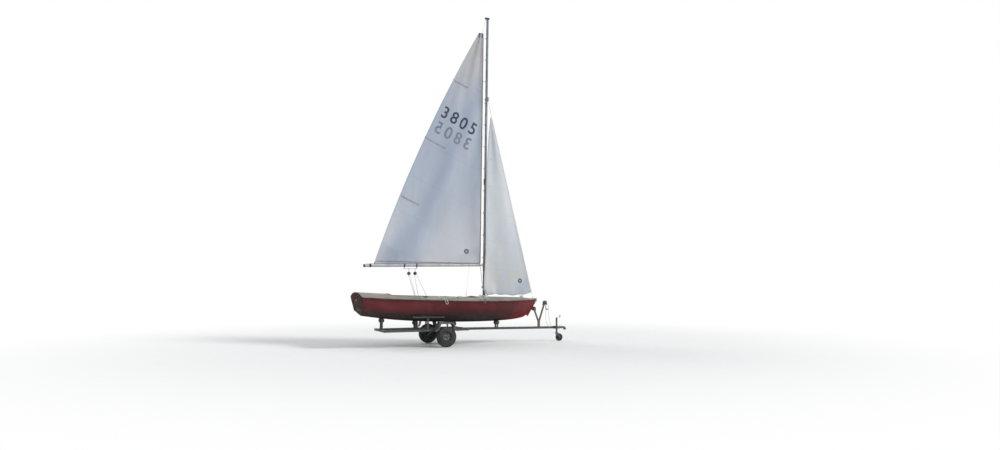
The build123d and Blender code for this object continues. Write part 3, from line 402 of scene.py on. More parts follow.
f = plain("white_plastic", 0.45, (16.0, 5.0), 0.75, (196, 194, 186), (164, 160, 150))
f.rough(f.noise(30.0, 3.0), 0.35, 0.6).bump(f.noise(240.0, 2.0), 0.0002, 0.4)
f = plain("black_plastic", 0.45, (20.0, 5.0), 0.75, (34, 35, 38), (58, 59, 62))
f.rough(f.noise(30.0, 3.0), 0.35, 0.6).bump(f.noise(260.0, 2.0), 0.0002, 0.4)
f = plain("rubber_black", 0.75, (14.0, 5.0), 0.7, (36, 35, 35), (66, 63, 60))
f.rough(f.noise(18.0, 4.0), 0.6, 0.85).bump(f.noise(180.0, 3.0), 0.0004, 0.5)
f = plain("carpet", 0.95, (5.0, 5.0), 0.7, (60, 62, 66), (86, 84, 80), sheen=0.3)
f.bump(f.noise(420.0, 3.0, 0.7), 0.0022, 0.9)
f = plain("webbing", 0.85, (16.0, 4.0), 0.7, (168, 164, 154), (128, 122, 112), sheen=0.2)
f.bump(f.times(f.waves(260.0, "X"), f.waves(260.0, "Y")), 0.0006, 0.6)
f = plain("batten_pocket", 0.8, (12.0, 4.0), 0.7, (150, 154, 163), (132, 137, 147))
f.bump(f.waves(420.0, "X"), 0.0003, 0.4)
f = plain("luff_tape", 0.8, (9.0, 5.0), 0.7, (134, 112, 114), (112, 98, 102))
f.bump(f.waves(420.0, "Z"), 0.0003, 0.4)
# The third tone is the far digits' shadow seen through the cloth: a painted shadow
for f in (plain("ring_tape", 0.6, (14.0, 5.0), 0.75, (66, 74, 92), (88, 96, 112)),
          plain("number_tape", 0.5, (10.0, 5.0), 0.75, (34, 40, 62), (58, 64, 84)),
          plain("number_shadow_through_cloth", 0.75, (10.0, 5.0), 0.75, (112, 118, 136), (130, 137, 152))):
    f.bump(f.noise(60.0, 3.0), 0.0003, 0.4)


def sail_finish(name, pale_band, shade, fold_shade, stain, stain_top, glow=None, core=None, foot=None):
    """Weathered sailcloth: fine weave, soft bands of painted shade, patches of painted fold shade and a
    stain.

    The mainsail's also has painted warm light through the thin head, and a painted slanting core of shade
    over a foot lightened as painted light.
    """
    f = Finish(name, roughness=0.7, sheen=0.08)
    height = f.axis("Z")
    bands = f.noise(0.62, 3.0, 0.5, stretch=(1.5, 1.0, 0.42), distortion=0.5)
    # Painted shade: soft upright bands go from the pale tone into the shade tone
    tone = f.tones(bands, 0.34, 0.68, pale_band, shade)
    # Painted shade: darker patches standing in for the folds' shade
    tone = f.over(tone, fold_shade, 0.28, f.noise(3.2, 6.0, 0.7), 0.5, 0.8)
    stain_low = 1.3
    if core:
        stain_low = 2.1
        half = 0.34
        across = f.maths("SUBTRACT", f.axis("X"), f.plus(f.times(height, 0.46), -2.56))
        off = f.maths("ABSOLUTE", f.plus(across, f.times(f.noise(0.9, 3.0), 0.3)))
        # Painted light: the foot is lightened below the slanting core
        tone = f.mix(f.times(f.span(height, 4.2, 2.2), f.span(off, half, half * 2.2)), tone, foot)
        # Painted shade: the slanting core
        tone = f.mix(f.times(f.span(off, half * 1.3, 0.0), f.span(height, 2.1, 3.3, 0.35, 0.8)), tone, core)
        # Painted light: warm glow through the thin head
        tone = f.over(tone, glow, 0.5, height, 5.8, 8.0)
    stained = f.times(f.span(height, stain_low, stain_low + 0.35), f.span(height, stain_top, stain_top - 0.5))
    stained = f.times(stained, f.span(f.noise(1.6, 5.0, 0.6, distortion=0.8), 0.42, 0.7))
    f.colour(f.mix(f.times(stained, 0.6), tone, stain)).rough(f.noise(8.0, 4.0), 0.6, 0.82)
    f.bump(f.span(f.plus(f.waves(430.0, "X"), f.waves(430.0, "Z")), 0.0, 2.0), 0.00025, 0.35)
    f.bump(f.noise(5.5, 4.0, 0.55, stretch=(1.0, 1.0, 0.7), distortion=0.7), 0.012, 0.35)
    f.bump(f.noise(38.0, 3.0, 0.6), 0.0012, 0.35)


# All tones are bluish greys below the cloth's white: painted shade over the whole sail
sail_finish("sailcloth", (178, 185, 196), (158, 167, 182), (150, 158, 172), (164, 168, 176), 2.6,
            glow=(186, 176, 162), core=(146, 157, 176), foot=(190, 192, 197))
sail_finish("jib_cloth", (201, 204, 207), (178, 184, 192), (172, 175, 180), (192, 187, 170), 3.0)
sail_finish("main_patch", (171, 178, 190), (151, 160, 176), (144, 152, 167), (158, 162, 171), 2.6,
            glow=(180, 170, 157), core=(140, 151, 171), foot=(183, 186, 192))
sail_finish("jib_patch", (193, 196, 200), (171, 177, 186), (165, 169, 175), (185, 180, 164), 3.0)


def rope_finish(name, first, second, fleck, turns=7.0, pitch=90.0):
    """Braided line, drawn along each rope's own length."""
    f = Finish(name, roughness=0.85, sheen=0.2)
    coord = f.node("TexCoord").outputs["UV"]
    along, around = f.times(f.axis("X", coord), pitch), f.times(f.axis("Y", coord), turns)
    left, right = (f.maths("SINE", f.times(f.maths(way, along, around), 6.2832))
                   for way in ("ADD", "SUBTRACT"))
    braid_relief_and_shade = f.times(f.maths("ABSOLUTE", left), f.maths("ABSOLUTE", right))
    # Painted shade: the braid's grooves darkened to 0.72 of the rope's tone
    tone = f.tones(braid_relief_and_shade, 0.05, 0.5, linear(first, 0.72), first)
    tone = f.over(tone, second, 0.6, f.noise(14.0, 4.0), 0.45, 0.7)
    f.colour(f.over(tone, fleck, 0.5, left, 0.9, 0.98)).bump(braid_relief_and_shade, 0.0012, 0.8)


rope_finish("pale_rope", (226, 223, 214), (188, 182, 168), (140, 150, 170))
rope_finish("sheet_rope", (240, 238, 232), (208, 204, 196), (70, 82, 120))
rope_finish("dark_rope", (70, 68, 66), (48, 47, 48), (96, 92, 86))
rope_finish("wire_rope", (120, 120, 122), (88, 88, 92), (70, 70, 72), 3.0, 140.0)

# CAD nodes that look different from the rest of their slot
NODE_FINISH = {"rubbing_strakes": "strake_wood", "floorboards": "bare_ply", "centreboard": "bare_ply",
               "winch_post": "rust_steel", "boom": "boom_alloy", "chainplates": "stained_steel",
               "mainsheet_bail": "bail_steel"}

for part in frame["record"]["subparts"]:
    slots = nodes[part["node"]].data.materials
    slots.clear()
    slots.append(Finish.made[NODE_FINISH.get(part["node"], part["material_slot"])].material)


def settle(obj, finish_name, body, angle=38.0):
    """Link a finished object and give it its finish, its body and its slot."""
    obj.data.materials.append(Finish.made[finish_name].material)
    scene.collection.objects.link(obj)
    obj.data.shade_smooth()
    obj.data.set_sharp_from_angle(angle=math.radians(angle))
    if body:
        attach(obj, body)
    return obj


def thicken(obj, thickness):
    solid = obj.modifiers.new("cloth_thickness", "SOLIDIFY")
    solid.thickness = thickness
    solid.offset = 0
    return obj


def frame_at(place, way):
    """Matrix at a place with Z along a direction."""
    return Matrix.Translation(place) @ Vector(way).normalized().to_track_quat("Z", "Y").to_matrix().to_4x4()


def circle(base, radius, sides, along=0.0):
    """Points round the Z axis of a matrix."""
    angles = [math.tau * i / sides for i in range(sides)]
    return [base @ Vector((radius * math.cos(a), radius * math.sin(a), along)) for a in angles]


class Detail:
    """Small solids collected into one piece."""

    def __init__(self, name, finish_name, body="root"):
        self.name, self.finish_name, self.body = name, finish_name, body
        self.mesh = bmesh.new()
        self.uv = self.mesh.loops.layers.uv.new("UVMap")

    def put(self, made, matrix, edge=0.0):
        """Move new vertices into place and ease the sharp edges between them."""
        verts = made["verts"]
        bmesh.ops.transform(self.mesh, matrix=matrix, verts=verts)
        if edge:
            edges = {e for v in verts for e in v.link_edges}
            sharp = [e for e in edges if len(e.link_faces) == 2 and e.calc_face_angle(0) > 0.6]
            bmesh.ops.bevel(self.mesh, geom=sharp, offset=edge, segments=2, profile=0.6, affect="EDGES")
        return self

    def block(self, centre, size, turn=None, edge=0.002):
        """Box with eased edges."""
        turn = turn or Matrix.Identity(3)
        matrix = Matrix.Translation(centre) @ turn.to_4x4() @ Matrix.Diagonal((*size, 1.0))
        return self.put(bmesh.ops.create_cube(self.mesh, size=1.0), matrix, edge)

    def bar(self, start, end, radius, end_radius=None, sides=20, edge=0.0):
        """Round bar, or a taper."""
        start = Vector(start)
        run = Vector(end) - start
        made = bmesh.ops.create_cone(self.mesh, cap_ends=True, segments=sides, radius1=radius,
                                     radius2=end_radius or radius, depth=run.length)
        return self.put(made, frame_at(start, run) @ Matrix.Translation((0, 0, run.length / 2)), edge)

    def ball(self, centre, radius):
        made = bmesh.ops.create_uvsphere(self.mesh, u_segments=16, v_segments=10, radius=radius)
        return self.put(made, Matrix.Translation(centre))

    def points(self, places):
        return [self.mesh.verts.new(place) for place in places]

    def join(self, low, high, lengths=None):
        """Band of faces between two rings, with the lengths along at both as UV if given."""
        sides = len(low)
        for k in range(sides):
            m = (k + 1) % sides
            face = self.mesh.faces.new((low[k], low[m], high[m], high[k]))
            if lengths:
                near, far = lengths
                corners = ((near, k), (near, k + 1), (far, k + 1), (far, k))
                for loop, (along, turn) in zip(face.loops, corners):
                    loop[self.uv].uv = (along, turn / sides)

    def skin(self, rings, closed=False, lengths=None):
        """Surface through rings of places, capped at both ends unless it closes on itself."""
        rings = [self.points(ring) for ring in rings]
        for i in range(len(rings) if closed else len(rings) - 1):
            self.join(rings[i], rings[(i + 1) % len(rings)], lengths and lengths[i:i + 2])
        if not closed:
            self.mesh.faces.new(rings[0][::-1])
            self.mesh.faces.new(rings[-1])
        return self

    def lathe(self, start, end, profile, sides=28):
        """Turned solid: rows of (distance along, radius)."""
        base = frame_at(start, Vector(end) - Vector(start))
        return self.skin([circle(base, radius, sides, along) for along, radius in profile])

    def ring(self, centre, axis, radius, wire, turns=28, sides=10):
        """Round wire bent into a ring."""
        return self.hose(circle(frame_at(centre, axis), radius, turns), wire, sides, closed=True)

    def hose(self, points, radius, sides=10, closed=False, flat=1.0, side_way=None):
        """Tube along points, with its length and turn kept as UV. The radius may be one for each point."""
        points = [Vector(p) for p in points]
        count = len(points)
        angles = [math.tau * k / sides for k in range(sides)]
        lengths = [0.0]
        for a, b in zip(points, points[1:] + points[:1]):
            lengths.append(lengths[-1] + (b - a).length)
        normal = side_way
        rings = []
        for i, point in enumerate(points):
            before = points[i - 1] if i or closed else point
            after = points[(i + 1) % count] if i < count - 1 or closed else point
            run = (after - before).normalized()
            if normal is None:
                normal = run.orthogonal()
            normal = (normal - run * normal.dot(run)).normalized()
            across = run.cross(normal)
            thick = radius[i] if isinstance(radius, list) else radius
            rings.append([point + normal * (thick * math.cos(a)) + across * (thick * flat * math.sin(a))
                          for a in angles])
        return self.skin(rings, closed, lengths)

    def bolt(self, centre, axis, across, height, sink=0.0):
        """Hexagon head on a washer, sunk a little into its surface if asked."""
        axis = Vector(axis).normalized()
        centre = Vector(centre) - axis * sink
        seat = centre + axis * (height * 0.2)
        self.bar(centre, seat, across * 0.78)
        return self.bar(seat, centre + axis * height, across * 0.577, sides=6, edge=across * 0.05)

    def screw(self, centre, axis, radius, sink=0.0):
        """Low domed screw head."""
        axis = Vector(axis).normalized()
        centre = Vector(centre) - axis * sink
        return self.lathe(centre, centre + axis, [(0, radius), (radius * 0.3, radius * 0.86),
                                                  (radius * 0.5, radius * 0.4)], sides=12)

    def done(self, angle=38.0, ride=True):
        bmesh.ops.recalc_face_normals(self.mesh, faces=self.mesh.faces)
        data = bpy.data.meshes.new(self.name)
        self.mesh.to_mesh(data)
        self.mesh.free()
        obj = bpy.data.objects.new(self.name, data)
        return settle(obj, self.finish_name, self.body if ride else None, angle)


def smooth_line(points):
    """Points along the NURBS line of a route, as Blender gives them."""
    curve = bpy.data.curves.new("route", "CURVE")
    curve.dimensions = "3D"
    spline = curve.splines.new("NURBS")
    spline.points.add(len(points) - 1)
    for target, point in zip(spline.points, points):
        target.co = (*point, 1.0)
    spline.order_u = 3
    spline.use_endpoint_u = True
    spline.resolution_u = 8
    obj = bpy.data.objects.new("route", curve)
    scene.collection.objects.link(obj)
    bpy.context.view_layer.update()
    mesh = bpy.data.meshes.new_from_object(obj)
    line = [v.co.copy() for v in mesh.vertices]
    bpy.data.objects.remove(obj)
    bpy.data.meshes.remove(mesh)
    return line


def limp_rope(name, route, diameter, finish_name):
    """Free rope along its route."""
    path = smooth_line(route)
    rope = Detail(name, finish_name).hose(path, diameter / 2, sides=12).done(80)


# Rig places: the mast leans a little forward and everything aloft follows it
MAST_LEAN = math.radians(0.77)
GOOSENECK_UP, LUFF_BACK, HEAD_UP = 0.790, -0.108, 6.96
mast_heel = Vector((0.474918, 0, 1.232586))
mast_up = Vector((math.sin(MAST_LEAN), 0, math.cos(MAST_LEAN)))
mast_fore = Vector((math.cos(MAST_LEAN), 0, -math.sin(MAST_LEAN)))


def rig_point(fore, across, up):
    """Point ahead of the mast's middle line, beside it and up from its heel."""
    return mast_heel + mast_fore * fore + Y * across + mast_up * up


pivot = rig_point(-0.062, 0, GOOSENECK_UP)
BOOM_DROOP = math.radians(0.7)
boom_aft = Vector((-math.cos(BOOM_DROOP), 0, -math.sin(BOOM_DROOP)))
boom_up = Vector((-math.sin(BOOM_DROOP), 0, math.cos(BOOM_DROOP)))


def boom_point(behind, across=0.0, up=0.0):
    """Point behind the gooseneck, beside and above the boom's middle line."""
    return pivot + boom_aft * behind + Y * across + boom_up * up


def between(first, second, share):
    """Side-view point part of the way from one to another."""
    return first[0] + (second[0] - first[0]) * share, first[1] + (second[1] - first[1]) * share


class Sail:
    """Cambered cloth between a straight luff and a curved leech. Its rows run from luff to leech."""

    def __init__(self, tack, head, clew, head_aft, roach, camber, side, relief):
        self.tack, self.head, self.clew, self.head_aft = (Vector(p) for p in (tack, head, clew, head_aft))
        self.roach, self.camber, self.side, self.relief = roach, camber, side, relief
        self.tall = self.head.z - self.tack.z

    def edges(self, v):
        luff = self.tack.lerp(self.head, v)
        leech = self.clew.lerp(self.head_aft, v)
        chord = (leech - luff).normalized()
        return luff, leech + chord * (4 * self.roach * v * (1 - v))

    def at(self, u, v):
        """Point of the cloth's middle: u from luff to leech, v from foot to head."""
        luff, leech = self.edges(v)
        chord = leech - luff
        belly = chord.length * self.camber * (0.35 + 0.65 * math.sin(math.pi * min(max(v, 0), 1)))
        point = luff + chord * u
        point.y += self.side * belly * math.sin(math.pi * min(max(u, 0.0), 1.0) ** 0.82)
        return point + self.relief(u, v)

    def find(self, x, z):
        """Place on the cloth, as (u, v), of a point given in side view."""
        u, v = 0.5, (z - self.tack.z) / self.tall
        for _ in range(14):
            luff, leech = self.edges(v)
            u = (x - luff.x) / (leech.x - luff.x)
            here = luff + (leech - luff) * u + self.relief(u, v)
            v += (z - here.z) / self.tall
        return u, v

    def on(self, x, z, out=0.0):
        """Point of the cloth in side view, moved out across it towards port."""
        return Vector((x, self.at(*self.find(x, z)).y + out, z))

    def drawn_to(self, place):
        """A point moved sideways onto the cloth."""
        return self.on(place.x, place.z)

    def piece(self, name, finish_name, body, columns, rows):
        verts = [self.at(i / columns, j / rows) for j in range(rows + 1) for i in range(columns + 1)]
        wide = columns + 1
        faces = [(j * wide + i, j * wide + i + 1, (j + 1) * wide + i + 1, (j + 1) * wide + i)
                 for j in range(rows) for i in range(columns)]
        data = bpy.data.meshes.new(name)
        data.from_pydata(verts, [], faces)
        return thicken(settle(bpy.data.objects.new(name, data), finish_name, body, 60), 0.0016)

    def strip(self, detail, points, width, thick, steps=None):
        """Cloth band laid over both faces along points given in side view."""
        line = []
        for a, b in zip(points, points[1:]):
            count = steps or max(2, int(math.dist(a, b) / 0.06))
            line += [between(a, b, k / count) for k in range(count)]
        line.append(points[-1])
        rings = []
        for i, (x, z) in enumerate(line):
            before, after = line[max(i - 1, 0)], line[min(i + 1, len(line) - 1)]
            reach = width / 2 / (math.dist(before, after) or 1.0)
            side_x, side_z = (before[1] - after[1]) * reach, (after[0] - before[0]) * reach
            rings.append([self.on(x + side_x * share, z + side_z * share, out * thick / 2)
                          for share, out in ((-1, -1), (1, -1), (1, 1), (-1, 1))])
        detail.skin(rings)


def window(value, low, high, soft):
    """1 between two limits, falling to 0 over a soft edge outside them."""
    rise = min(max((value - low + soft) / soft, 0.0), 1.0)
    fall = min(max((high + soft - value) / soft, 0.0), 1.0)
    return rise * rise * (3 - 2 * rise) * fall * fall * (3 - 2 * fall)


def main_relief(u, v):
    """Creases fanning from the head, slack upright folds, pull of the slides and a drooping foot."""
    head_fan = 0.020 * math.sin(u * 9.5 + 0.6) * window(v, 0.70, 0.955, 0.10) * (0.35 + 2.6 * u * (1 - u))
    folds = 0.026 * math.sin(6.0 * u + 2.2 * v + 0.9)
    folds *= window(v, 0.12, 0.72, 0.14) * window(u, 0.12, 0.88, 0.12)
    small = 0.008 * math.sin(17.0 * u - 9.0 * v) * window(v, 0.05, 0.95, 0.05) * window(u, 0.06, 0.94, 0.06)
    rough = 0.012 * noise.noise(Vector((u * 5.0, v * 9.0, 3.7))) * window(u, 0.05, 0.97, 0.05)
    slides = 0.0036 * math.sin(v * math.pi * 22) * window(u, 0.0, 0.04, 0.08) * window(v, 0.02, 0.98, 0.01)
    droop = -0.016 * math.sin(math.pi * u) * (1 - v) ** 10
    return Vector((0, head_fan + folds + small + rough + slides, droop))


foot_up = GOOSENECK_UP + 0.035 + 0.004
main = Sail(rig_point(LUFF_BACK, 0, foot_up), rig_point(LUFF_BACK, 0, HEAD_UP), boom_point(2.875, 0, 0.039),
            rig_point(LUFF_BACK - 0.140, 0, HEAD_UP), 0.165, 0.045, PORT, main_relief)
mainsail = main.piece("mainsail_cloth", "sailcloth", "boom", 72, 150)
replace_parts(mainsail, "mainsail")

stay_low, stay_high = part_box("forestay")
STAY_RADIUS = 0.0015
stay_foot = Vector((stay_high.x - STAY_RADIUS, 0, stay_low.z))
stay_head = Vector((stay_low.x + STAY_RADIUS, 0, stay_high.z))
stay_run = (stay_head - stay_foot).normalized()
stay_length = (stay_head - stay_foot).length


def jib_relief(u, v):
    """Rolled-over clew, hollow leech and foot, and soft folds from tack to head."""
    curl = window(u, 0.86, 1.0, 0.14) * (1 - min(v / 0.16, 1.0)) ** 2
    out = -0.055 * math.sin(math.pi * 0.9 * curl) * curl
    back = -0.035 * window(u, 0.90, 1.0, 0.12) * max(1 - v / 0.30, 0.0) ** 2
    back -= 0.060 * u * u * math.sin(math.pi * v * v)
    fall = math.sin(min(u / 0.5, 1.0) * math.pi / 2) * math.cos(max((u - 0.91) / 0.09, 0.0) * math.pi / 2)
    foot_sag = -(0.100 + 0.022 * window(u, 0.88, 0.93, 0.12)) * fall * (1 - v) ** 9
    scallop = 0.009 * math.sin(u * 25.0 + 0.4) * (1 - v) ** 40
    folds = 0.016 * math.sin(7.5 * u + 1.3 + 1.5 * v) * window(v, 0.06, 0.86, 0.08) * window(u, 0.1, 0.9, 0.1)
    rough = 0.010 * noise.noise(Vector((u * 4.0, v * 8.0, 9.1))) * window(u, 0.04, 0.96, 0.05)
    return Vector((back, out + folds + rough, foot_sag + scallop))


jib_top = stay_foot + stay_run * (stay_length * 0.918)
jib = Sail(stay_foot + stay_run * 0.145 - X * 0.006, jib_top - X * 0.006, (0.4249, -0.150, 1.385),
           jib_top + Vector((-0.051, -0.004, 0)), -0.02, 0.05, STARBOARD, jib_relief)
jib_piece = jib.piece("jib_cloth", "jib_cloth", "root", 48, 120)
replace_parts(jib_piece, "jib")


# Sail details. Each tape or patch wraps the cloth, so that it shows on both faces
def along_edge(sail, inset, edge, low, high, count):
    """Side-view points beside the luff, leech or foot."""
    points = []
    for k in range(count + 1):
        share = low + (high - low) * k / count
        if edge == "foot":
            place = sail.at(share, inset / sail.tall)
        else:
            luff, leech = sail.edges(share)
            across = inset / (leech - luff).length
            place = sail.at(across if edge == "luff" else 1 - across, share)
        points.append((place.x, place.z))
    return points


def tape(sail, name, finish_name, body, lines, width, thick):
    band = Detail(name, finish_name, body)
    for points in lines:
        sail.strip(band, points, width, thick, steps=1)
    band.done(50)


def patches(sail, name, finish_name, body, corners):
    """Corner reinforcements: two cloth layers, the outer one shorter, on both faces.

    Each corner is its (u, v) and the ways along its two edges.
    """
    piece = Detail(name, finish_name, body)
    count = 18
    for corner, first, second in corners:
        for layer, out in ((0, -1), (0, 1), (1, -1), (1, 1)):
            size = 1.0 - layer * 0.28
            grid = []
            for i in range(count + 1):
                row = []
                for j in range(count + 1):
                    a = i / count * size
                    b = j / count * size * (1 - 0.55 * i / count)
                    place = sail.at(*(corner[n] + first[n] * a + second[n] * b for n in (0, 1)))
                    place.y += out * (0.0021 + 0.0007 * layer)
                    row.append(place)
                grid.append(piece.points(row))
            for low, high in zip(grid, grid[1:]):
                for j in range(count):
                    piece.mesh.faces.new((low[j], high[j], high[j + 1], low[j + 1]))
    piece.done(50)


def seams(sail, name, finish_name, body, first_z, spacing, run):
    """Panel seams from the leech across the cloth."""
    band = Detail(name, finish_name, body)
    z = first_z
    while z < sail.head_aft.z - 0.5:
        start = sail.at(1.0, (z - sail.clew.z) / (sail.head_aft.z - sail.clew.z))
        points = []
        for k in range(200):
            x, height = start.x + run[0] * k * 0.06, start.z + run[1] * k * 0.06
            u, v = sail.find(x, height)
            if u < 0.012 or v < 0.004:
                break
            points.append((x, height))
        if len(points) > 2:
            sail.strip(band, points, 0.014, 0.0022, steps=1)
        z += spacing
    band.done(50)


seams(main, "mainsail_seams", "main_patch", "boom", 2.55, 0.88, (0.915, -0.404))
seams(jib, "jib_seams", "jib_patch", "root", 1.95, 0.72, (0.995, -0.10))
tape(main, "mainsail_tabling", "main_patch", "boom",
     [along_edge(main, 0.013, "leech", 0.01, 0.985, 110)], 0.028, 0.0030)
boom_tape = [between((-2.395, 2.099), (0.350, 2.065), k / 60) for k in range(61)]
tape(main, "mainsail_luff_tape", "luff_tape", "boom",
     [along_edge(main, 0.010, "luff", 0.004, 0.985, 110), boom_tape], 0.017, 0.0072)
tape(jib, "jib_tabling", "jib_patch", "root",
     [along_edge(jib, 0.012, "leech", 0.03, 0.985, 90), along_edge(jib, 0.012, "luff", 0.005, 0.985, 90),
      along_edge(jib, 0.012, "foot", 0.01, 0.97, 50)], 0.026, 0.0030)
patches(main, "mainsail_patches", "main_patch", "boom",
        [((0.004, 0.004), (0.20, 0.0), (0.0, 0.075)), ((0.996, 0.004), (-0.20, 0.0), (0.0, 0.085)),
         ((0.01, 0.992), (0.0, -0.095), (0.98, 0.0))])
patches(jib, "jib_patches", "jib_patch", "root",
        [((0.006, 0.006), (0.26, 0.0), (0.0, 0.085)), ((0.01, 0.99), (0.0, -0.10), (0.98, 0.0))])

# Battens: a pocket from the leech inwards, and a tab at its inner end
BATTENS = [((-0.40, 6.870), (-0.02, 6.700)), ((-1.165, 5.285), (-0.625, 5.048)),
           ((-1.765, 3.744), (-1.33, 3.545))]
pockets = Detail("batten_pockets", "batten_pocket", "boom")
tabs = Detail("batten_tabs", "batten_pocket", "boom")
for outer, inner in BATTENS:
    main.strip(pockets, [outer, inner], 0.042, 0.0062)
    main.strip(tabs, [inner, between(outer, inner, 1 + 0.035 / math.dist(outer, inner))], 0.055, 0.0050)
pockets.done(50)
tabs.done(50)


# Plain sail number on both faces, with the far one's shadow through the cloth painted faintly on the near
# face
def glyph_faces(digit):
    """Outline of a digit as a flat mesh, 1 high and centred, cut into small cells."""
    curve = bpy.data.curves.new("digit", "FONT")
    curve.body = digit
    curve.align_x = "CENTER"
    curve.offset = 0.014
    obj = bpy.data.objects.new("digit", curve)
    scene.collection.objects.link(obj)
    bpy.context.view_layer.update()
    data = bpy.data.meshes.new_from_object(obj)
    bpy.data.objects.remove(obj)
    cells = bmesh.new()
    cells.from_mesh(data)
    bpy.data.meshes.remove(data)
    across, upward = ([v.co[axis] for v in cells.verts] for axis in (0, 1))
    tall = max(upward) - min(upward)
    for v in cells.verts:
        v.co.x = (v.co.x - (min(across) + max(across)) / 2) / tall
        v.co.y = (v.co.y - (min(upward) + max(upward)) / 2) / tall
    for way in (X, Y):
        for k in range(-8, 9):
            geom = cells.verts[:] + cells.edges[:] + cells.faces[:]
            bmesh.ops.bisect_plane(cells, geom=geom, plane_co=way * k * 0.07, plane_no=way)
    points = [tuple(v.co[:2]) for v in cells.verts]
    faces = [[v.index for v in f.verts] for f in cells.faces]
    cells.free()
    return points, faces


def sail_number(name, finish_name, start, step, face):
    """Digits laid on one face of the mainsail from a start by equal steps, in side view."""
    tall, wide = 0.33, 0.30
    piece = Detail(name, finish_name, "boom")
    size = math.hypot(*step)
    along = (step[0] / size, step[1] / size)
    up = (abs(along[1]), abs(along[0]))
    for k, digit in enumerate("3805"):
        points, faces = glyph_faces(digit)
        mid = (start[0] + step[0] * k, start[1] + step[1] * k)
        verts = piece.points(main.on(mid[0] + along[0] * x * wide + up[0] * y * tall,
                                     mid[1] + along[1] * x * wide + up[1] * y * tall, face * 0.0022)
                             for x, y in points)
        for corners in faces:
            piece.mesh.faces.new([verts[i] for i in corners])
    thicken(piece.done(60), 0.0004)


starboard_row = ((-0.590, 5.978), (0.252, -0.123))
port_row = ((0.022, 5.208), (-0.264, 0.119))
sail_number("sail_number_starboard", "number_tape", *starboard_row, STARBOARD)
sail_number("sail_number_port", "number_tape", *port_row, PORT)
sail_number("sail_number_port_painted_shadow", "number_shadow_through_cloth", *port_row, STARBOARD)
sail_number("sail_number_starboard_painted_shadow", "number_shadow_through_cloth", *starboard_row, PORT)


def round_patch(sail, name, body, x, z, outer, inner):
    """Plain ring of tape with a disc in its middle, on the starboard face."""
    piece = Detail(name, "ring_tape", body)
    hub = inner * 0.38
    ways = [(math.cos(math.tau * k / 36), math.sin(math.tau * k / 36)) for k in range(36)]
    circles = [piece.points(sail.on(x + radius * dx, z + radius * dz, -0.0042) for dx, dz in ways)
               for radius in (inner, (inner + outer) / 2, outer, hub / 2, hub)]
    for near, far in ((0, 1), (1, 2), (3, 4)):
        piece.join(circles[near], circles[far])
    piece.mesh.faces.new(circles[3])
    thicken(piece.done(60), 0.0004)


round_patch(main, "mainsail_round_patch", "boom", 0.009, 2.377, 0.064, 0.030)
round_patch(jib, "jib_round_patch", "root", 1.493, 1.617, 0.062, 0.029)


def eyelet(detail, centre, radius):
    """Turned eye pressed through the cloth."""
    detail.ring(centre, Y, radius, radius * 0.42, turns=20, sides=8)


# Headboard with its rivets
head = Detail("headboard", "ring_tape", "boom")
luff_dir = (main.head - main.tack).normalized()
HEAD_SHAPE = ((main.head, -0.105, -0.012), (main.head, 0.010, -0.010), (main.head_aft, 0.010, 0.010),
              (main.head_aft, -0.045, 0.0), (main.head_aft, -0.125, 0.012))
head.skin([[corner + luff_dir * up + mast_fore * fore + Y * side * 0.004 for corner, up, fore in HEAD_SHAPE]
           for side in SIDES])
for drop, aft in ((0.02, 0.03), (0.085, 0.03), (0.02, 0.11), (0.06, 0.09), (0.09, 0.12)):
    rivet = main.head - luff_dir * drop - mast_fore * aft
    head.bar(rivet - Y * 0.0055, rivet + Y * 0.0055, 0.004, sides=12)
head.done(30)

# Corner eyes, sail slides with their loops, and bolt rope
eyes = Detail("sail_eyes", "fitting_steel", "boom")
clew_eye = main.drawn_to(main.clew + (main.tack - main.clew).normalized() * 0.030 + boom_up * 0.022)
tack_eye = main.drawn_to(main.tack - mast_fore * 0.028 + mast_up * 0.022)
eyelet(eyes, clew_eye, 0.011)
eyelet(eyes, tack_eye, 0.011)
slides = Detail("sail_slides", "white_plastic")
loops = Detail("slide_loops", "webbing")
SLIDES = 11
for k in range(SLIDES):
    up = foot_up + 0.16 + k * (HEAD_UP - foot_up - 0.28) / (SLIDES - 1)
    eyelet(eyes, main.drawn_to(rig_point(LUFF_BACK - 0.014, 0, up)), 0.006)
    slides.block(rig_point(-0.0400, 0, up), (0.014, 0.012, 0.040))
    slides.ring(rig_point(-0.0510, 0, up), Y, 0.0058, 0.0022, turns=16, sides=8)
    near = rig_point(-0.053, 0, up)
    far = main.drawn_to(rig_point(-0.124, 0, up))
    for side in SIDES:
        loops.hose([near, near.lerp(far, 0.5) + Y * side * 0.006, far + Y * side * 0.004], 0.0016, sides=8)
eyes.done(40)
slides.done(40)
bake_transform(loops.done(60, ride=False))
luff_rope = [main.at(0.0, 0.004 + 0.976 * k / 110) + mast_fore * 0.003 for k in range(111)]
foot_rope = [main.at(0.02 + 0.96 * k / 60, 0.0) - boom_up * 0.002 for k in range(61)]
bolt_rope = Detail("mainsail_bolt_rope", "pale_rope", "boom")
bolt_rope.hose(luff_rope, 0.0042, sides=8).hose(foot_rope, 0.0042, sides=8).done(60)

hanks = Detail("jib_hanks", "fitting_steel")
for k in range(8):
    place = stay_foot + stay_run * stay_length * (0.075 + 0.115 * k)
    hanks.ring(place - X * 0.004, stay_run, 0.0085, 0.0018, turns=18, sides=8)
    hanks.block(place - X * 0.013, (0.011, 0.007, 0.016), edge=0.0015)
hanks.done(40)


def shackle(detail, centre, along, size):
    """Bow shackle: bent bar with a pin across its ends."""
    along = Vector(along).normalized()
    points = [centre + Y * (size * 0.5 * math.cos(a)) + along * (size * (0.55 + 0.6 * math.sin(a)))
              for a in (math.pi * k / 12 for k in range(13))]
    detail.hose([centre + Y * size * 0.5, *points, centre - Y * size * 0.5], size * 0.13)
    detail.bar(centre - Y * size * 0.66, centre + Y * size * 0.66, size * 0.11, sides=12)


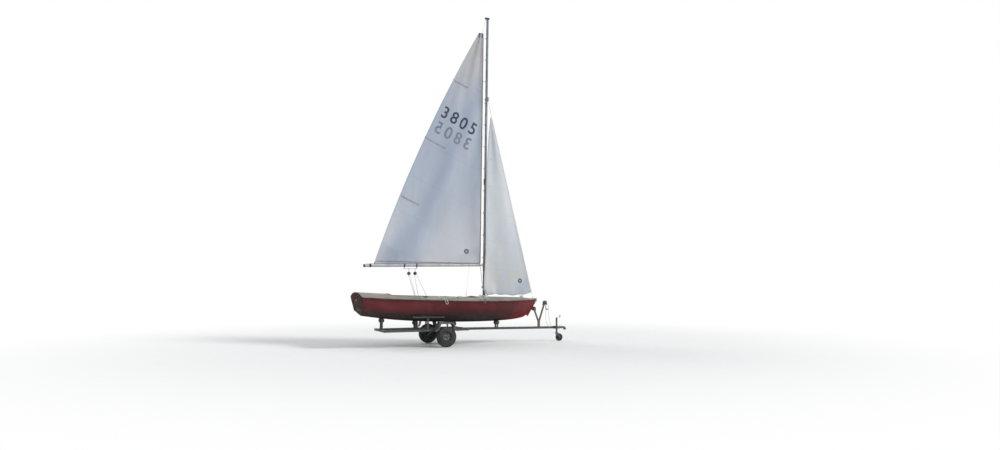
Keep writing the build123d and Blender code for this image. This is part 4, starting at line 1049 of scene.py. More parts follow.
# Shackles, rigging screws and stay ends, and the two halyard wires
rig_bits = Detail("rig_shackles", "fitting_steel")
shackle(rig_bits, stay_foot + stay_run * 0.034, -stay_run - X * 0.4, 0.020)
head_eye = jib.head + stay_run * 0.012
shackle(rig_bits, head_eye, stay_run, 0.018)
for side, shroud in ((STARBOARD, "shroud_starboard"), (PORT, "shroud_port")):
    low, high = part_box(shroud)
    wide, narrow = max(abs(low.y), abs(high.y)), min(abs(low.y), abs(high.y))
    foot = Vector((low.x + STAY_RADIUS, side * (wide - STAY_RADIUS), low.z))
    top = Vector((high.x - STAY_RADIUS, side * (narrow + STAY_RADIUS), high.z))
    run = (top - foot).normalized()
    rig_bits.bar(foot - run * 0.012, foot + run * 0.040, 0.0042, 0.0036, sides=14)
    rig_bits.lathe(foot + run * 0.052, foot + run * 0.16,
                   [(0, 0.0032), (0.004, 0.0062), (0.076, 0.0062), (0.08, 0.0032)], sides=16)
    rig_bits.bar(foot + run * 0.130, foot + run * 0.22, 0.0032, 0.0026, sides=12)
    rig_bits.bar(foot + Y * 0.006 - Z * 0.010, foot - Y * 0.006 - Z * 0.010, 0.0036, sides=12)
    rig_bits.bar(top - run * 0.12, top - run * 0.005, 0.0028, 0.0034, sides=12)
rig_bits.bar(stay_foot - stay_run * 0.004, stay_foot + stay_run * 0.060, 0.0034, 0.0028, sides=12)
rig_bits.bar(stay_head - stay_run * 0.10, stay_head - stay_run * 0.004, 0.0028, 0.0034, sides=12)
rig_bits.done(40)
hounds_low, hounds_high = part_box("hounds_fitting")
hounds_eye = Vector((hounds_high.x - 0.012, 0, hounds_low.z + 0.012))
jib_halyard = Detail("jib_halyard_wire", "wire_rope")
jib_halyard.hose([head_eye + stay_run * 0.020, hounds_eye], 0.0016, sides=8).done(60)
board_hole = main.head.lerp(main.head_aft, 0.30) + luff_dir * 0.004
cap_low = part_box("masthead_cap")[0]
sheave = Vector((cap_low.x + 0.012, 0, cap_low.z + 0.006))
halyard = Detail("main_halyard", "wire_rope")
halyard.hose([board_hole.lerp(sheave, k / 8) for k in range(9)], 0.0019, sides=8)
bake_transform(halyard.done(60, ride=False))
head_shackle = Detail("halyard_shackle", "fitting_steel", "boom")
shackle(head_shackle, board_hole - luff_dir * 0.010, luff_dir, 0.018)
head_shackle.done(40)

# Mainsheet: four falls between the boom blocks and the cockpit
deck = surface("foredeck", "afterdeck", "side_deck_port", "side_deck_starboard", "cockpit_coaming")
SHEET = 0.012
GROOVE = 0.020
aft_block, fore_block = Vector((-1.5546, 0, 1.799)), Vector((-1.3944, 0, 1.801))
BASE_X = -1.235
low_block, ratchet = Vector((BASE_X, 0, 0.800)), Vector((-1.014, 0, 1.050))
becket = Vector((-1.272, 0, 0.838))
sheet_exit = Vector((-1.079, 0, 1.030))


def fall(start, start_side, end, end_side):
    """Straight run between two sheaves: a side is -1 aft and 1 forward of the sheave's middle."""
    run = (end - start).normalized()
    across = Vector((abs(run.z), 0, -run.x * math.copysign(1, run.z)))
    return [start + across * start_side * GROOVE, end + across * end_side * GROOVE]


def on_sheave(centre, angles):
    """Points of the groove at some angles."""
    return [centre + Vector((math.cos(a), 0, math.sin(a))) * GROOVE for a in angles]


def round_sheave(centre, entry, leave, over):
    """Arc of rope over or under a sheave between two runs."""
    first, last = (math.atan2(end.z - centre.z, end.x - centre.x) for end in (entry, leave))
    if over and last > first:
        last -= math.tau
    if not over and last < first:
        last += math.tau
    return on_sheave(centre, [first + (last - first) * k / 8 for k in range(1, 8)])


falls = [[becket, fall(becket, 0, aft_block, -1)[1]], fall(aft_block, 1, low_block, -1),
         fall(low_block, 1, fore_block, -1), fall(fore_block, 1, ratchet, 1)]
rope_line = list(falls[0])
for k, (block, over) in enumerate(((aft_block, True), (low_block, False), (fore_block, True))):
    rope_line += round_sheave(block, falls[k][1], falls[k + 1][0], over) + falls[k + 1]
rope_line += on_sheave(ratchet, (-0.3, -0.6, -0.9, -1.2)) + [ratchet - Z * GROOVE, sheet_exit]
dense = []
for a, b in zip(rope_line, rope_line[1:]):
    count = max(1, int((b - a).length / 0.04))
    dense += [a.lerp(b, k / count) for k in range(count)]
falls_rope = Detail("mainsheet_falls", "sheet_rope").hose(dense + [sheet_exit], SHEET / 2, side_way=Y)
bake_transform(falls_rope.done(80, ride=False))


def block_body(steel, sheaves, centre, strap_to, wide=0.031):
    """Block with two cheeks, a grooved sheave, its pin and the straps that hold it."""
    half = 0.014
    strap = strap_to - centre
    for side in SIDES:
        sheaves.lathe(centre + Y * side * (half - 0.003), centre + Y * side * half,
                      [(0, wide), (0.0022, wide), (0.003, wide - 0.003)], sides=32)
        start = centre + Y * side * (half - 0.0045)
        steel.block(start.lerp(strap_to, 0.5), (0.011, 0.0018, strap.length),
                    turn=strap.to_track_quat("Z", "Y").to_matrix(), edge=0.0005)
    sheaves.lathe(centre - Y * (half - 0.0045), centre,
                  [(0, 0.0235), (0.0015, 0.0235), (0.0045, 0.0165), (0.0125, 0.0165), (0.0155, 0.0235),
                   (0.017, 0.0235)], sides=32)
    steel.bar(centre - Y * (half + 0.001), centre + Y * (half + 0.001), 0.0035, sides=16)


steel = Detail("boom_block_straps", "fitting_steel", "boom")
sheaves = Detail("boom_block_cheeks", "black_plastic", "boom")
bail_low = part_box("mainsheet_bail")[0]
for block in (aft_block, fore_block):
    hang = Vector((block.x, 0, bail_low.z + 0.008))
    block_body(steel, sheaves, block, hang, 0.042)
    steel.ring(hang, X, 0.0135, 0.0032, turns=20)
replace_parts(sheaves.done(40), "mainsheet_blocks")
steel.done(40)
steel = Detail("cockpit_block_fittings", "fitting_steel")
sheaves = Detail("cockpit_block_cheeks", "black_plastic")
block_body(steel, sheaves, low_block, Vector((BASE_X, 0, 0.752)))
pin = low_block + Vector((-0.030, 0, 0.030))
steel.bar(pin - Y * 0.007, pin + Y * 0.007, 0.0035, sides=12)
steel.hose([low_block + Vector((-0.006, 0, 0.026)), pin + Z * 0.001], 0.004)
steel.ring((BASE_X, 0, 0.748), Y, 0.010, 0.003, turns=20)
steel.block((BASE_X, 0, 0.7375), (0.060, 0.036, 0.003), edge=0.001)
for dx in (-0.022, 0.022):
    for y in (0.010, -0.010):
        steel.screw((BASE_X + dx, y, 0.739), Z, 0.0045)
foot = Vector((ratchet.x, 0, 1.010))
block_body(steel, sheaves, ratchet, foot + Z * 0.010)
steel.lathe(foot, foot + Z, [(0, 0.030), (0.004, 0.030), (0.006, 0.016), (0.012, 0.015)])
for side in SIDES:
    steel.block((-1.040, side * 0.0165, 1.022), (0.062, 0.0022, 0.018), edge=0.0006)
    jaw = Vector((-1.062, side * 0.0115, 1.020))
    sheaves.lathe(jaw, jaw + Z,
                  [(0, 0.008), (0.004, 0.008), (0.006, 0.0068), (0.013, 0.0068), (0.018, 0.008)], sides=18)
    steel.bar(jaw - Z * 0.0065, jaw + Z * 0.021, 0.0028, sides=10)
steel.block((-1.062, 0, 1.0115), (0.030, 0.046, 0.003), edge=0.001)
sheaves.done(40)
steel.done(40)
plinth = Detail("mainsheet_plinth", "varnished_wood")
plinth.block((BASE_X, 0, 0.7240), (0.150, 0.130, 0.024), edge=0.005).done(30)


def knot(name, place, run, diameter):
    """Stopper knot: three crossed turns drawn tight, with the rope's end past them."""
    run = Vector(run).normalized()
    side = run.orthogonal().normalized()
    lump = Detail(name, "sheet_rope")
    for k, tilt in enumerate((-0.55, 0.0, 0.55)):
        centre = place + run * (0.35 + 0.5 * k) * diameter
        lump.ring(centre, run + side * tilt, diameter * 0.72, diameter * 0.46, turns=18)
    start, end = place - run * diameter * 0.2, place + run * diameter * 2.6
    lump.bar(start, end, diameter * 0.5, diameter * 0.56, sides=14)
    return lump.done(80)


def coil(centre, diameter, turns, columns, inner, phase):
    """Neat round coil: turns beside and on each other from the outside in, 12 points to a turn."""
    pitch = diameter * 1.08
    points = []
    for k in range(turns * 12 + 1):
        turn = k / 12
        layer = min(int(turn // columns), (turns - 1) // columns)
        across = turn - layer * columns
        radius = inner + pitch * (across if layer % 2 else columns - across)
        angle = phase + turn * math.tau
        points.append(centre + Vector((math.cos(angle) * radius, math.sin(angle) * radius, pitch * layer)))
    return points


def coil_tie(name, centre, angle, inner, wide, tall):
    """Band round a coil's turns, with rounded corners."""
    out = Vector((math.cos(angle), math.sin(angle), 0))
    corners = []
    for k in range(24):
        turn = math.tau * k / 24
        c, s = (math.copysign(abs(part) ** 0.5, part) for part in (math.cos(turn), math.sin(turn)))
        corners.append(centre + out * (inner + wide / 2 + c * wide / 2) + Z * (tall / 2 + s * tall / 2))
    tie = Detail(name, "webbing")
    return tie.hose(corners, 0.0016, sides=8, closed=True, flat=5.0, side_way=out).done(60)


def route(*places, start=(0, 0, 0)):
    """Points of a rope's way, given from a start."""
    return [Vector(start) + Vector(place) for place in places]


def on_deck(*places):
    """Points over the deck: each place is its x and y with the height over the surface."""
    return [plumb(deck, x, y)[0] + Z * height for x, y, height in places]


# Mainsheet tail: over the thwart's edge, then coiled on the starboard floorboards
floor_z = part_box("floorboards")[1].z
lying = floor_z + SHEET / 2 + 0.0005
coil_mid = Vector((-1.470, -0.160, lying))
tail = route(sheet_exit, (-1.106, 0, 1.030), (-1.1336, -0.002, 1.007), (-1.139, -0.005, 0.972),
             (-1.139, -0.008, 0.935), (-1.139, -0.011, 0.880), (-1.139, -0.014, 0.820),
             (-1.139, -0.017, 0.780), (-1.139, -0.024, 0.748), (-1.140, -0.045, 0.726),
             (-1.143, -0.074, lying + 0.001), (-1.152, -0.104, lying), (-1.174, -0.130, lying),
             (-1.205, -0.145, lying), (-1.255, -0.152, lying), (-1.315, -0.150, lying),
             (-1.372, -0.124, lying))
tail += coil(coil_mid, SHEET, 14, 4, 0.040, 0.94)
tail += route((0.008, 0.073, 0.039), (-0.028, 0.086, 0.038), (-0.065, 0.090, 0.028), (-0.102, 0.082, 0.010),
              (-0.138, 0.066, 0.0), start=coil_mid)
tail_knot = knot("mainsheet_knot", tail[-1], (-0.9, -0.4, 0), SHEET)
tail_tie = coil_tie("mainsheet_coil_tie", coil_mid - Z * 0.0065, 2.9, 0.030, 0.072, 0.057)
limp_rope("mainsheet_tail", tail, SHEET, "sheet_rope")

# Jib's eyes, and the knot of its sheets at the clew
JIB_SHEET = 0.010
eyes = Detail("jib_eyes", "fitting_steel")
clew_hole = jib.at(0.955, 0.016)
eyelet(eyes, clew_hole, 0.010)
eyelet(eyes, jib.at(0.035, 0.012), 0.009)
eyelet(eyes, jib.at(0.45, 0.994), 0.006)
eyes.done(40)
knot_low = clew_hole + Vector((0.004, -0.012, -0.030))
clew_loop = Detail("jib_clew_knot", "sheet_rope")
clew_loop.ring(clew_hole.lerp(knot_low, 0.42), X, 0.019, JIB_SHEET / 2, turns=22)
for tilt in (-0.5, 0.0, 0.5):
    clew_loop.ring(knot_low + Z * (0.004 - 0.004 * tilt), (0.2, tilt, 1), 0.0078, JIB_SHEET * 0.46, turns=18)
clew_loop.done(80)


def loose_turns(x, y, first, turns, sway=0.003):
    """Turns dropped on the deck one on another, no two the same, as deck places."""
    places = []
    for k in range(round(turns * 12) + 1):
        turn = k / 12
        angle = first - turn * math.tau
        reach = 0.038 + sway * math.sin(2.3 * turn + first)
        places.append((x + 0.010 * math.sin(1.7 * turn) + reach * 1.08 * math.cos(angle),
                       y + reach * 0.86 * math.sin(angle), 0.0055 + 0.0104 * turn))
    return places


# The starboard sheet's heap by the mast, then aft along the side deck to its bight over the side
knot_foot = knot_low + Vector((0, -0.004, -0.008))
sheet = route((0, 0, 0), (-0.002, -0.006, -0.030), (-0.006, -0.018, -0.068), (-0.014, -0.032, -0.104),
              start=knot_foot)
sheet += on_deck((0.449, -0.246, 0.012), *loose_turns(0.402, -0.285, 0.25, 3.04))
sheet += on_deck((0.4405, -0.294, 0.031), (0.442, -0.322, 0.024), (0.441, -0.358, 0.012),
                 (0.433, -0.402, 0.0055), (0.412, -0.442, 0.0055), (0.378, -0.460, 0.0055),
                 (0.346, -0.440, 0.0055), (0.328, -0.394, 0.0055), (0.312, -0.336, 0.0055),
                 (0.296, -0.276, 0.0055), (0.286, -0.226, 0.0055), (0.284, -0.188, 0.0055))
sheet += on_deck(*loose_turns(0.325, -0.165, math.pi, 3.648))
sheet += on_deck((0.332, -0.214, 0.036), (0.300, -0.238, 0.028), (0.266, -0.264, 0.018),
                 (0.238, -0.298, 0.008), (0.228, -0.344, 0.0055), (0.234, -0.392, 0.0055),
                 (0.243, -0.430, 0.0055))
sheet += on_deck(*loose_turns(0.205, -0.466, 0.0, 1.25, sway=0.0))
sheet += on_deck((0.170, -0.506, 0.014), (0.130, -0.512, 0.010), (0.070, -0.520, 0.0055),
                 (0.000, -0.520, 0.0055), (-0.100, -0.508, 0.005), (-0.220, -0.486, 0.006),
                 (-0.310, -0.472, 0.012), (-0.365, -0.470, 0.019), (-0.420, -0.470, 0.021),
                 (-0.475, -0.470, 0.019), (-0.540, -0.473, 0.011), (-0.620, -0.480, 0.005),
                 (-0.780, -0.502, 0.005), (-0.980, -0.535, 0.005), (-1.130, -0.572, 0.005),
                 (-1.230, -0.592, 0.007), (-1.300, -0.596, 0.010), (-1.355, -0.590, 0.009),
                 (-1.392, -0.560, 0.007), (-1.390, -0.520, 0.006), (-1.350, -0.494, 0.006),
                 (-1.280, -0.478, 0.006), (-1.180, -0.452, 0.006), (-1.090, -0.434, 0.006),
                 (-1.015, -0.428, 0.006), (-0.966, -0.434, 0.008), (-0.934, -0.460, 0.016),
                 (-0.916, -0.500, 0.023), (-0.899, -0.545, 0.018), (-0.884, -0.590, 0.007),
                 (-0.870, -0.635, 0.007), (-0.862, -0.665, 0.013), (-0.856, -0.688, 0.022))
# The bight lies on the topside at a slant: its two parts side by side, then the turn
hang_mid, hang_run = Vector((-0.828, -0.7345, 1.137)), Vector((0.47, 0.06, -0.88)).normalized()
hang_side = Vector((hang_run.z, 0, -hang_run.x)).normalized()
sheet += route((-0.8530, -0.716, 1.160))
sheet += [hang_mid + hang_run * down + hang_side * aside for down, aside in (
    (0.0, 0.0265), (0.032, 0.0265), (0.058, 0.0265), (0.080, 0.0265), (0.0956, 0.0110), (0.0956, -0.0110),
    (0.080, -0.0265), (0.060, -0.0265), (0.040, -0.0265), (0.016, -0.0265))]
sheet += route((-0.8050, -0.716, 1.160))
sheet += on_deck((-0.808, -0.688, 0.022), (-0.814, -0.665, 0.013), (-0.822, -0.635, 0.007),
                 (-0.836, -0.590, 0.007), (-0.850, -0.548, 0.016), (-0.862, -0.506, 0.023),
                 (-0.872, -0.468, 0.014), (-0.878, -0.432, 0.007))
sheet_knot = knot("jib_sheet_knot", sheet[-1], (-0.1, 1.0, 0.1), JIB_SHEET)
limp_rope("jib_sheet_starboard", sheet, JIB_SHEET, "sheet_rope")

# The slack port sheet passes ahead of the mast into the cockpit, where the rest of it is coiled
lying = floor_z + JIB_SHEET / 2 + 0.0005
port_mid = Vector((-0.36, 0.170, lying))
edge_z = plumb(deck, -0.06, 0.383)[0].z
sheet = route((0.006, 0.004, 0.002), (0.016, 0.010, -0.026), (0.034, 0.022, -0.060), (0.064, 0.044, -0.090),
              start=knot_foot)
sheet += on_deck((0.520, -0.105, 0.016), (0.556, -0.060, 0.006), (0.572, 0.005, 0.005),
                 (0.560, 0.075, 0.005), (0.520, 0.140, 0.005), (0.420, 0.230, 0.005), (0.300, 0.310, 0.005),
                 (0.190, 0.365, 0.005), (0.100, 0.405, 0.006), (0.030, 0.422, 0.010))
sheet += route((-0.025, 0.414, edge_z + 0.014), (-0.060, 0.392, edge_z + 0.016),
               (-0.082, 0.366, edge_z + 0.004), (-0.092, 0.354, edge_z - 0.030),
               (-0.096, 0.350, edge_z - 0.090), (-0.100, 0.345, 1.0), (-0.106, 0.336, 0.86),
               (-0.114, 0.322, 0.780), (-0.128, 0.302, 0.742), (-0.152, 0.280, 0.724),
               (-0.190, 0.260, lying), (-0.240, 0.248, lying), (-0.300, 0.2444, lying),
               (-0.335, 0.2444, lying))
sheet += coil(port_mid, JIB_SHEET, 6, 3, 0.042, math.pi / 2)
sheet += route((-0.036, 0.074, 0.0108), (-0.070, 0.064, 0.009), (-0.100, 0.044, 0.003),
               (-0.120, 0.012, 0.0), start=port_mid)
port_knot = knot("port_sheet_knot", sheet[-1], (-0.2, -1.0, 0), JIB_SHEET)
port_tie = coil_tie("port_sheet_coil_tie", port_mid - Z * 0.0055, 0.9, 0.034, 0.049, 0.027)
limp_rope("jib_sheet_port", sheet, JIB_SHEET, "sheet_rope")


# Deck fittings
def horn_cleat(detail, base, along, up, length):
    """Two-horned cleat on its foot."""
    along, up = Vector(along).normalized(), Vector(up).normalized()
    tall = length * 0.24
    points = [base + along * length * s + up * (tall + length * (0.05 - 0.09 * (2 * s) ** 2 * 0.5))
              for s in (-0.5, -0.4, -0.28, -0.15, 0, 0.15, 0.28, 0.4, 0.5)]
    thick = [length * t for t in (0.030, 0.044, 0.056, 0.066, 0.070, 0.066, 0.056, 0.044, 0.030)]
    detail.hose(points, thick, sides=14)
    for s in (-0.14, 0.14):
        detail.bar(base + along * length * s, base + along * length * s * 0.9 + up * tall, length * 0.07,
                   length * 0.06, sides=14)
    turn = Matrix((along, up.cross(along), up)).transposed()
    size = (length * 0.44, length * 0.2, length * 0.05)
    detail.block(base + up * length * 0.015, size, turn, length * 0.012)
    for s in (-0.18, 0.18):
        detail.screw(base + along * length * s + up * length * 0.04, up, length * 0.03)


def bullseye(detail, base, up, radius):
    """Fairlead: a turned eye standing on a foot."""
    detail.ring(base + up * radius * 1.15, X, radius, radius * 0.38, turns=24, sides=12)
    detail.block(base + up * 0.002, (radius * 1.3, radius * 3.6, 0.005), edge=0.0015)


cleats = Detail("deck_cleats", "black_plastic")
for x, y in ((-1.300, -0.550), (-1.300, 0.550), (1.560, 0.0)):
    place, up = plumb(deck, x, y)
    horn_cleat(cleats, place - up * 0.001, X, up, 0.130)
CLEAT_UP = 0.69
for side in SIDES:
    place, up = plumb(deck, -0.420, side * 0.470)
    bullseye(cleats, place - up * 0.001, up, 0.017)
    horn_cleat(cleats, rig_point(0, side * 0.0265, CLEAT_UP), mast_up, Y * side, 0.122)
horn_cleat(cleats, rig_point(-0.0325, 0, 0.22), mast_up, -mast_fore, 0.090)
cleats.done(50)

# Mast fittings, the halyard tails and their turns on the mast's side cleats, and the boom's downhaul
gear = Detail("mast_fittings", "black_plastic")
gear.block(rig_point(-0.0385, 0, 2.98), (0.013, 0.022, 0.16), Matrix.Rotation(MAST_LEAN, 3, "Y"), edge=0.003)
for side in SIDES:
    gear.block(rig_point(0.0, side * 0.0275, 3.02), (0.020, 0.003, 0.075), edge=0.001)
gear.block(rig_point(-0.0385, 0, 5.18), (0.014, 0.018, 0.05))
gear.done(40)
lines = Detail("mast_lines", "pale_rope")
TAIL_END = (0.0, 0.036, CLEAT_UP + 0.07)
TAILS = ((STARBOARD, ((-0.008, 0.0335, 5.02), (-0.006, 0.033, 3.4), (-0.004, 0.033, 1.9), TAIL_END)),
         (PORT, ((-0.006, 0.0335, 7.30), (-0.006, 0.033, 5.0), (-0.004, 0.033, 2.6), TAIL_END)))
for side, line in TAILS:
    lines.hose([rig_point(fore, side * out, up) for fore, out, up in line], 0.0022, sides=8)
lines.done(60)
turns = Detail("halyard_turns", "dark_rope")
TURN_STEPS = 144
for side in SIDES:
    wrap = []
    for k in range(TURN_STEPS + 1):
        share = k / TURN_STEPS
        angle = share * math.tau * 3
        wrap.append(rig_point(0.020 * math.sin(angle * 2), side * (0.0400 + 0.0110 * share),
                              CLEAT_UP + 0.042 * math.sin(angle + 0.3)))
    turns.hose(wrap, 0.0035, sides=8)
turns.done(60)
tackle = Detail("boom_downhaul", "sheet_rope")
tackle_top, tackle_foot = boom_point(0.045, 0, -0.038), rig_point(-0.045, 0, 0.275)
for side in SIDES:
    top, foot = tackle_top + Y * side * 0.009, tackle_foot + Y * side * 0.004
    tackle.hose([top.lerp(foot, k / 16) for k in range(17)], 0.0045)
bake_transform(tackle.done(60, ride=False))

# Outhaul: turns round the boom at the clew, and its line to the boom's end
lashing = Detail("outhaul_lashing", "dark_rope", "boom")
angles = [math.tau * k / 24 for k in range(24)]
for k in range(5):
    turn_middle = boom_point(2.950 + 0.0085 * k, 0, 0.004)
    lashing.hose([turn_middle + boom_up * 0.0415 * math.cos(a) + (Y * 0.0295 + boom_aft * 0.004) * math.sin(a)
                  for a in angles], 0.0042, sides=8, closed=True)
lashing.ring(clew_eye + boom_aft * 0.012 - boom_up * 0.006, X, 0.016, 0.0042, turns=20, sides=8)
for side in SIDES:
    start, end = clew_eye + boom_aft * 0.026 + Y * side * 0.008, boom_point(2.968, side * 0.004, 0.0450)
    lashing.hose([start.lerp(end, k / 6) for k in range(7)], 0.0036, sides=8)
end_line = [boom_point(2.985 + 0.09 * k / 6, 0.003 * math.sin(k * 0.9), 0.0405) for k in range(7)]
lashing.hose(end_line, 0.0036, sides=8)
lashing.done(60)

# Inspection hatches and drain plugs (not seen in the photo), and the hull's fastenings
hatch = Detail("inspection_hatches", "black_plastic")
for side in SIDES:
    wall = Vector((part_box("aft_bulkhead")[1].x - 0.001, side * 0.36, 0.96))
    hatch.lathe(wall, wall + X, [(0, 0.078), (0.004, 0.078), (0.0055, 0.076), (0.0055, 0.066), (0.004, 0.064),
                                 (0.004, 0.062), (0.009, 0.060), (0.010, 0.058)], sides=48)
    hatch.block(wall + X * 0.012, (0.010, 0.070, 0.010))
hatch.done(40)
fixings = Detail("hull_fixings", "fitting_steel")
plugs = Detail("transom_plugs", "black_plastic")
stern, strakes, plates = surface("transom"), surface("rubbing_strakes"), surface("chainplates")
ASTERN = -3.5
for side in SIDES:
    place, out = meets(stern, (ASTERN, side * 0.24, 0.90), X)
    plugs.lathe(place - out * 0.001, place + out, [(0, 0.026), (0.004, 0.026), (0.006, 0.023), (0.006, 0.014),
                                                   (0.012, 0.0125), (0.014, 0.010)])
    for z in (0.945, 0.965, 1.105, 1.125):
        place = meets(stern, (ASTERN, side * 0.021, z), X)[0]
        fixings.screw(place - X * 0.004, (-1, 0, -0.22), 0.0045)
    for z in (1.062, 1.080, 1.098):
        place, out = meets(plates, (0.2345, side * 1.2, z), -Y * side)
        fixings.bolt(place, out, 0.008, 0.006, sink=0.0005)
    for up in (0.764, 0.816):
        fixings.bolt(rig_point(-0.026, side * 0.0195, up), Y * side, 0.007, 0.006)
plugs.done(40)
for k in range(24):
    for side in SIDES:
        for z in [1.24 - 0.006 * j for j in range(34)]:
            place, normal, _, _ = strakes.ray_cast(Vector((-2.72 + k * 0.195, side * 1.2, z)), -Y * side)
            if place is not None and abs(normal.y) > 0.8:
                fixings.screw(place - Y * side * 0.001 - Z * 0.012, Y * side, 0.005)
                break
FLAT_SCREWS = ((surface("bow_fitting"), 0.0045, ((1.87, 0.016), (1.93, 0.012))),
               (surface("mast_step"), 0.005, ((0.425, 0.032), (0.525, 0.032))))
for target, radius, places in FLAT_SCREWS:
    for x, y in places:
        for side in SIDES:
            place, out = plumb(target, x, side * y)
            fixings.screw(place, out, radius, sink=0.0005)
fixings.done(40)

# Toe straps (not seen in the photo)
straps = Detail("toe_straps", "webbing")
for side in SIDES:
    line = [Vector((-2.126 + 1.060 * s, side * 0.180, 0.865 + 0.118 * s - 0.05 * math.sin(math.pi * s)))
            for s in (k / 14 for k in range(15))]
    straps.hose(line, 0.0016, sides=12, flat=13.0, side_way=Z)
straps.done(60)

# Tyres with their tread: half section from bead to crown as (out from the middle, radius)
wheel_x, wheel_y, wheel_z = -0.80508, 0.700, 0.250
HALF_SECTION = [(0.0540, 0.1280), (0.0600, 0.1350), (0.0640, 0.1500), (0.0664, 0.1680), (0.0652, 0.1710),
                (0.0674, 0.1740), (0.0674, 0.1920), (0.0660, 0.1950), (0.0656, 0.2080), (0.0630, 0.2200),
                (0.0596, 0.2320), (0.0550, 0.2390), (0.0480, 0.2438), (0.0400, 0.2458), (0.0330, 0.2468)]
RIBS = [(0.0310, 0.2472), (0.0295, 0.2412), (0.0255, 0.2412), (0.0240, 0.2482), (0.0110, 0.2492),
        (0.0095, 0.2432), (0.0055, 0.2432), (0.0040, 0.2496)]
INNER = [(0.0500, 0.1300), (0.0580, 0.1550), (0.0590, 0.1900), (0.0540, 0.2200), (0.0300, 0.2340)]
TREAD_STEPS = 216


def tread_cut(row, step):
    """Depth of the tread's grooves in one row of the section, at one step round the tyre."""
    if 10 <= row <= 14 and step % 9 in (0, 1):
        return 0.0046 if row > 11 else 0.0030
    if row in (18, 19) and (step + 4) % 9 == 0:
        return 0.0040
    return 0.0


def mirrored(rows):
    return [(-y, r, row) for y, r, row in rows[::-1]]


def tyre(side, label):
    outer = [(y, r, row) for row, (y, r) in enumerate(HALF_SECTION + RIBS)]
    inner = [(-y, r, -1) for y, r in INNER]
    section = outer + mirrored(outer) + inner + mirrored(inner)
    rings = []
    for i in range(TREAD_STEPS):
        angle = math.tau * i / TREAD_STEPS
        ring = []
        for y, r, row in section:
            r -= tread_cut(row, i + 3 if y > 0 else i)
            ring.append((wheel_x + r * math.cos(angle), side * wheel_y + y, wheel_z + r * math.sin(angle)))
        rings.append(ring)
    tread = Detail("tyre_%s_tread" % label, "tyre_rubber", "wheel_" + label)
    return tread.skin(rings, closed=True).done(32)


WHEELS = ((PORT, "left"), (STARBOARD, "right"))
for side, label in WHEELS:
    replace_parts(tyre(side, label), "tyre_" + label)
for side, label in WHEELS:
    nuts = Detail("wheel_nuts_" + label, "fitting_steel", "wheel_" + label)
    face = side * (wheel_y + 0.0138)
    for k in range(4):
        angle = math.radians(45 + 90 * k)
        spot = Vector((wheel_x + 0.050 * math.cos(angle), face, wheel_z + 0.050 * math.sin(angle)))
        nuts.lathe(spot, spot + Y * side, [(0, 0.0125), (0.004, 0.0105)], sides=20)
        nuts.bolt(spot + Y * side * 0.003, Y * side, 0.017, 0.013)
        nuts.bar(spot, spot + Y * side * 0.019, 0.0055, 0.0050, sides=12)
    valve = Vector((wheel_x + 0.104, side * (wheel_y + 0.030), wheel_z - 0.020))
    nuts.bar(valve, valve + Y * side * 0.022, 0.0032, 0.0028, sides=12)
    nuts.done(35)

# Trailer fastenings
ROLLERS = (-2.2451, -1.3851, -0.3651, 0.8349)
REAR_X, FRONT_X, RAIL_TOP, RAIL_Y, SINK = -2.270, -0.140, 0.425, 0.450, 0.0005
fixings = Detail("trailer_bolts", "fitting_steel")
brackets, guards, bunks = surface("roller_brackets"), surface("mudguards"), surface("bunks")
coupling, post = surface("coupling"), surface("winch_post")
for x in (REAR_X, FRONT_X):
    for side in SIDES:
        for dx, dy in ((-0.014, 0.012), (0.014, -0.012)):
            fixings.bolt((x + dx, side * (RAIL_Y + dy), RAIL_TOP), Z, 0.013, 0.010)
    for y in (-0.045, 0.045):
        fixings.bar((x, y, 0.372), (x, y, 0.440), 0.005, sides=14)
        fixings.bolt((x, y, RAIL_TOP - SINK), Z, 0.013, 0.010)
for side in SIDES:
    for x in ROLLERS:
        hits = [inward(brackets, x, 0.66 - 0.02 * k, side) for k in range(8)]
        fixings.bolt(next(hit for hit in hits if hit), Y * side, 0.015, 0.009, SINK)
    for x in (-0.945, -0.695):
        hits = [guards.ray_cast(Vector((x, side * y, 0.9)), -Z)[0] for y in (0.628, 0.615)]
        fixings.bolt(next(hit for hit in hits if hit), Z, 0.011, 0.007, SINK)
    for x in (-1.205, -1.185):
        fixings.bolt((x, side * 0.4755, 0.400), Y * side, 0.013, 0.009)
    for x in (-1.42, -0.92):
        for dy in (-0.034, 0.034):
            fixings.screw(plumb(bunks, x, side * (RAIL_Y + dy))[0], Z, 0.006, sink=-0.0002)
    for x in (2.555, 2.605, 2.655) if side == PORT else (2.655,):
        hit = inward(coupling, x, 0.356, side)
        if hit:
            fixings.bolt(hit, Y * side, 0.016, 0.010, SINK)
    for x, z in ((2.060, 0.425), (2.092, 0.425), (2.0749, 0.560), (1.935, 0.860), (2.255, 0.935)):
        hit = inward(post, x, z, side)
        if hit:
            fixings.bolt(hit, Y * side, 0.015, 0.009, SINK)
    for x in (2.232, 2.292):
        fixings.bolt((x, side * 0.024, 0.9848), Z, 0.011, 0.008)
fixings.done(35)

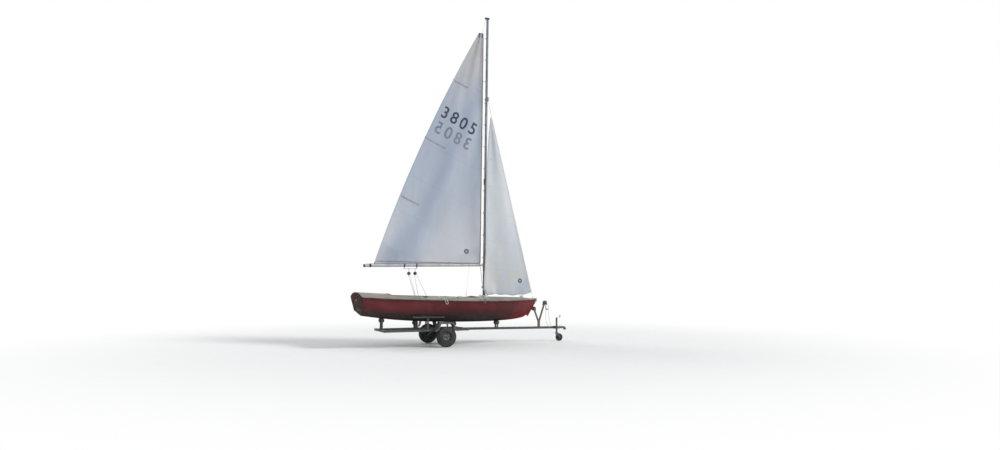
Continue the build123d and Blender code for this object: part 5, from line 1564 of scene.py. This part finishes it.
# Winch: the large gear's teeth, the pawl and the shaft's bolt
winch_x, winch_z = 2.2649, 1.040
teeth = Detail("winch_gear", "fitting_steel")
for k in range(26):
    angle = math.tau * k / 26
    out = Vector((math.cos(angle), 0, math.sin(angle)))
    teeth.block(Vector((winch_x, -0.042, winch_z)) + out * 0.0432, (0.0058, 0.0038, 0.0046),
                Matrix.Rotation(-angle, 3, "Y"), edge=0.0006)
teeth.block((winch_x - 0.040, -0.0445, winch_z + 0.028), (0.030, 0.004, 0.010), Matrix.Rotation(0.5, 3, "Y"),
            edge=0.001)
teeth.bolt((winch_x, -0.059, winch_z), -Y, 0.016, 0.010)
teeth.done(35)

# Handle of the jockey wheel's clamp
handle = Detail("jockey_clamp_handle", "galvanised")
grip = Vector((2.575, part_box("jockey_clamp")[0].y + 0.001, 0.345))
handle.bar(grip, grip - Y * 0.034, 0.0065, sides=18)
knob = grip - Y * 0.030
handle.lathe(knob, knob - Y, [(0, 0.010), (0.003, 0.012), (0.014, 0.012), (0.018, 0.009)], sides=20)
ends = [grip + Vector((end * 0.046, -0.040, -end * 0.012)) for end in (-1, 1)]
handle.bar(*ends, 0.0048, sides=14)
for end in ends:
    handle.ball(end, 0.0072)
handle.done(40)

# Winch rope: down from the shelf, past the drawbar and back up to the winch's foot
rope = route((2.262, -0.062, 0.972), (2.262, -0.072, 0.950), (2.256, -0.076, 0.86), (2.250, -0.076, 0.74),
             (2.252, -0.072, 0.62), (2.266, -0.064, 0.53), (2.288, -0.055, 0.472), (2.318, -0.050, 0.430),
             (2.346, -0.047, 0.403), (2.374, -0.046, 0.384), (2.400, -0.045, 0.386), (2.416, -0.045, 0.408),
             (2.413, -0.046, 0.442), (2.398, -0.047, 0.49), (2.372, -0.049, 0.56), (2.350, -0.052, 0.65),
             (2.341, -0.056, 0.75), (2.340, -0.058, 0.86), (2.334, -0.058, 0.96), (2.318, -0.052, 0.992),
             (2.300, -0.046, 1.000))
limp_rope("winch_rope", rope, 0.012, "pale_rope")
low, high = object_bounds()
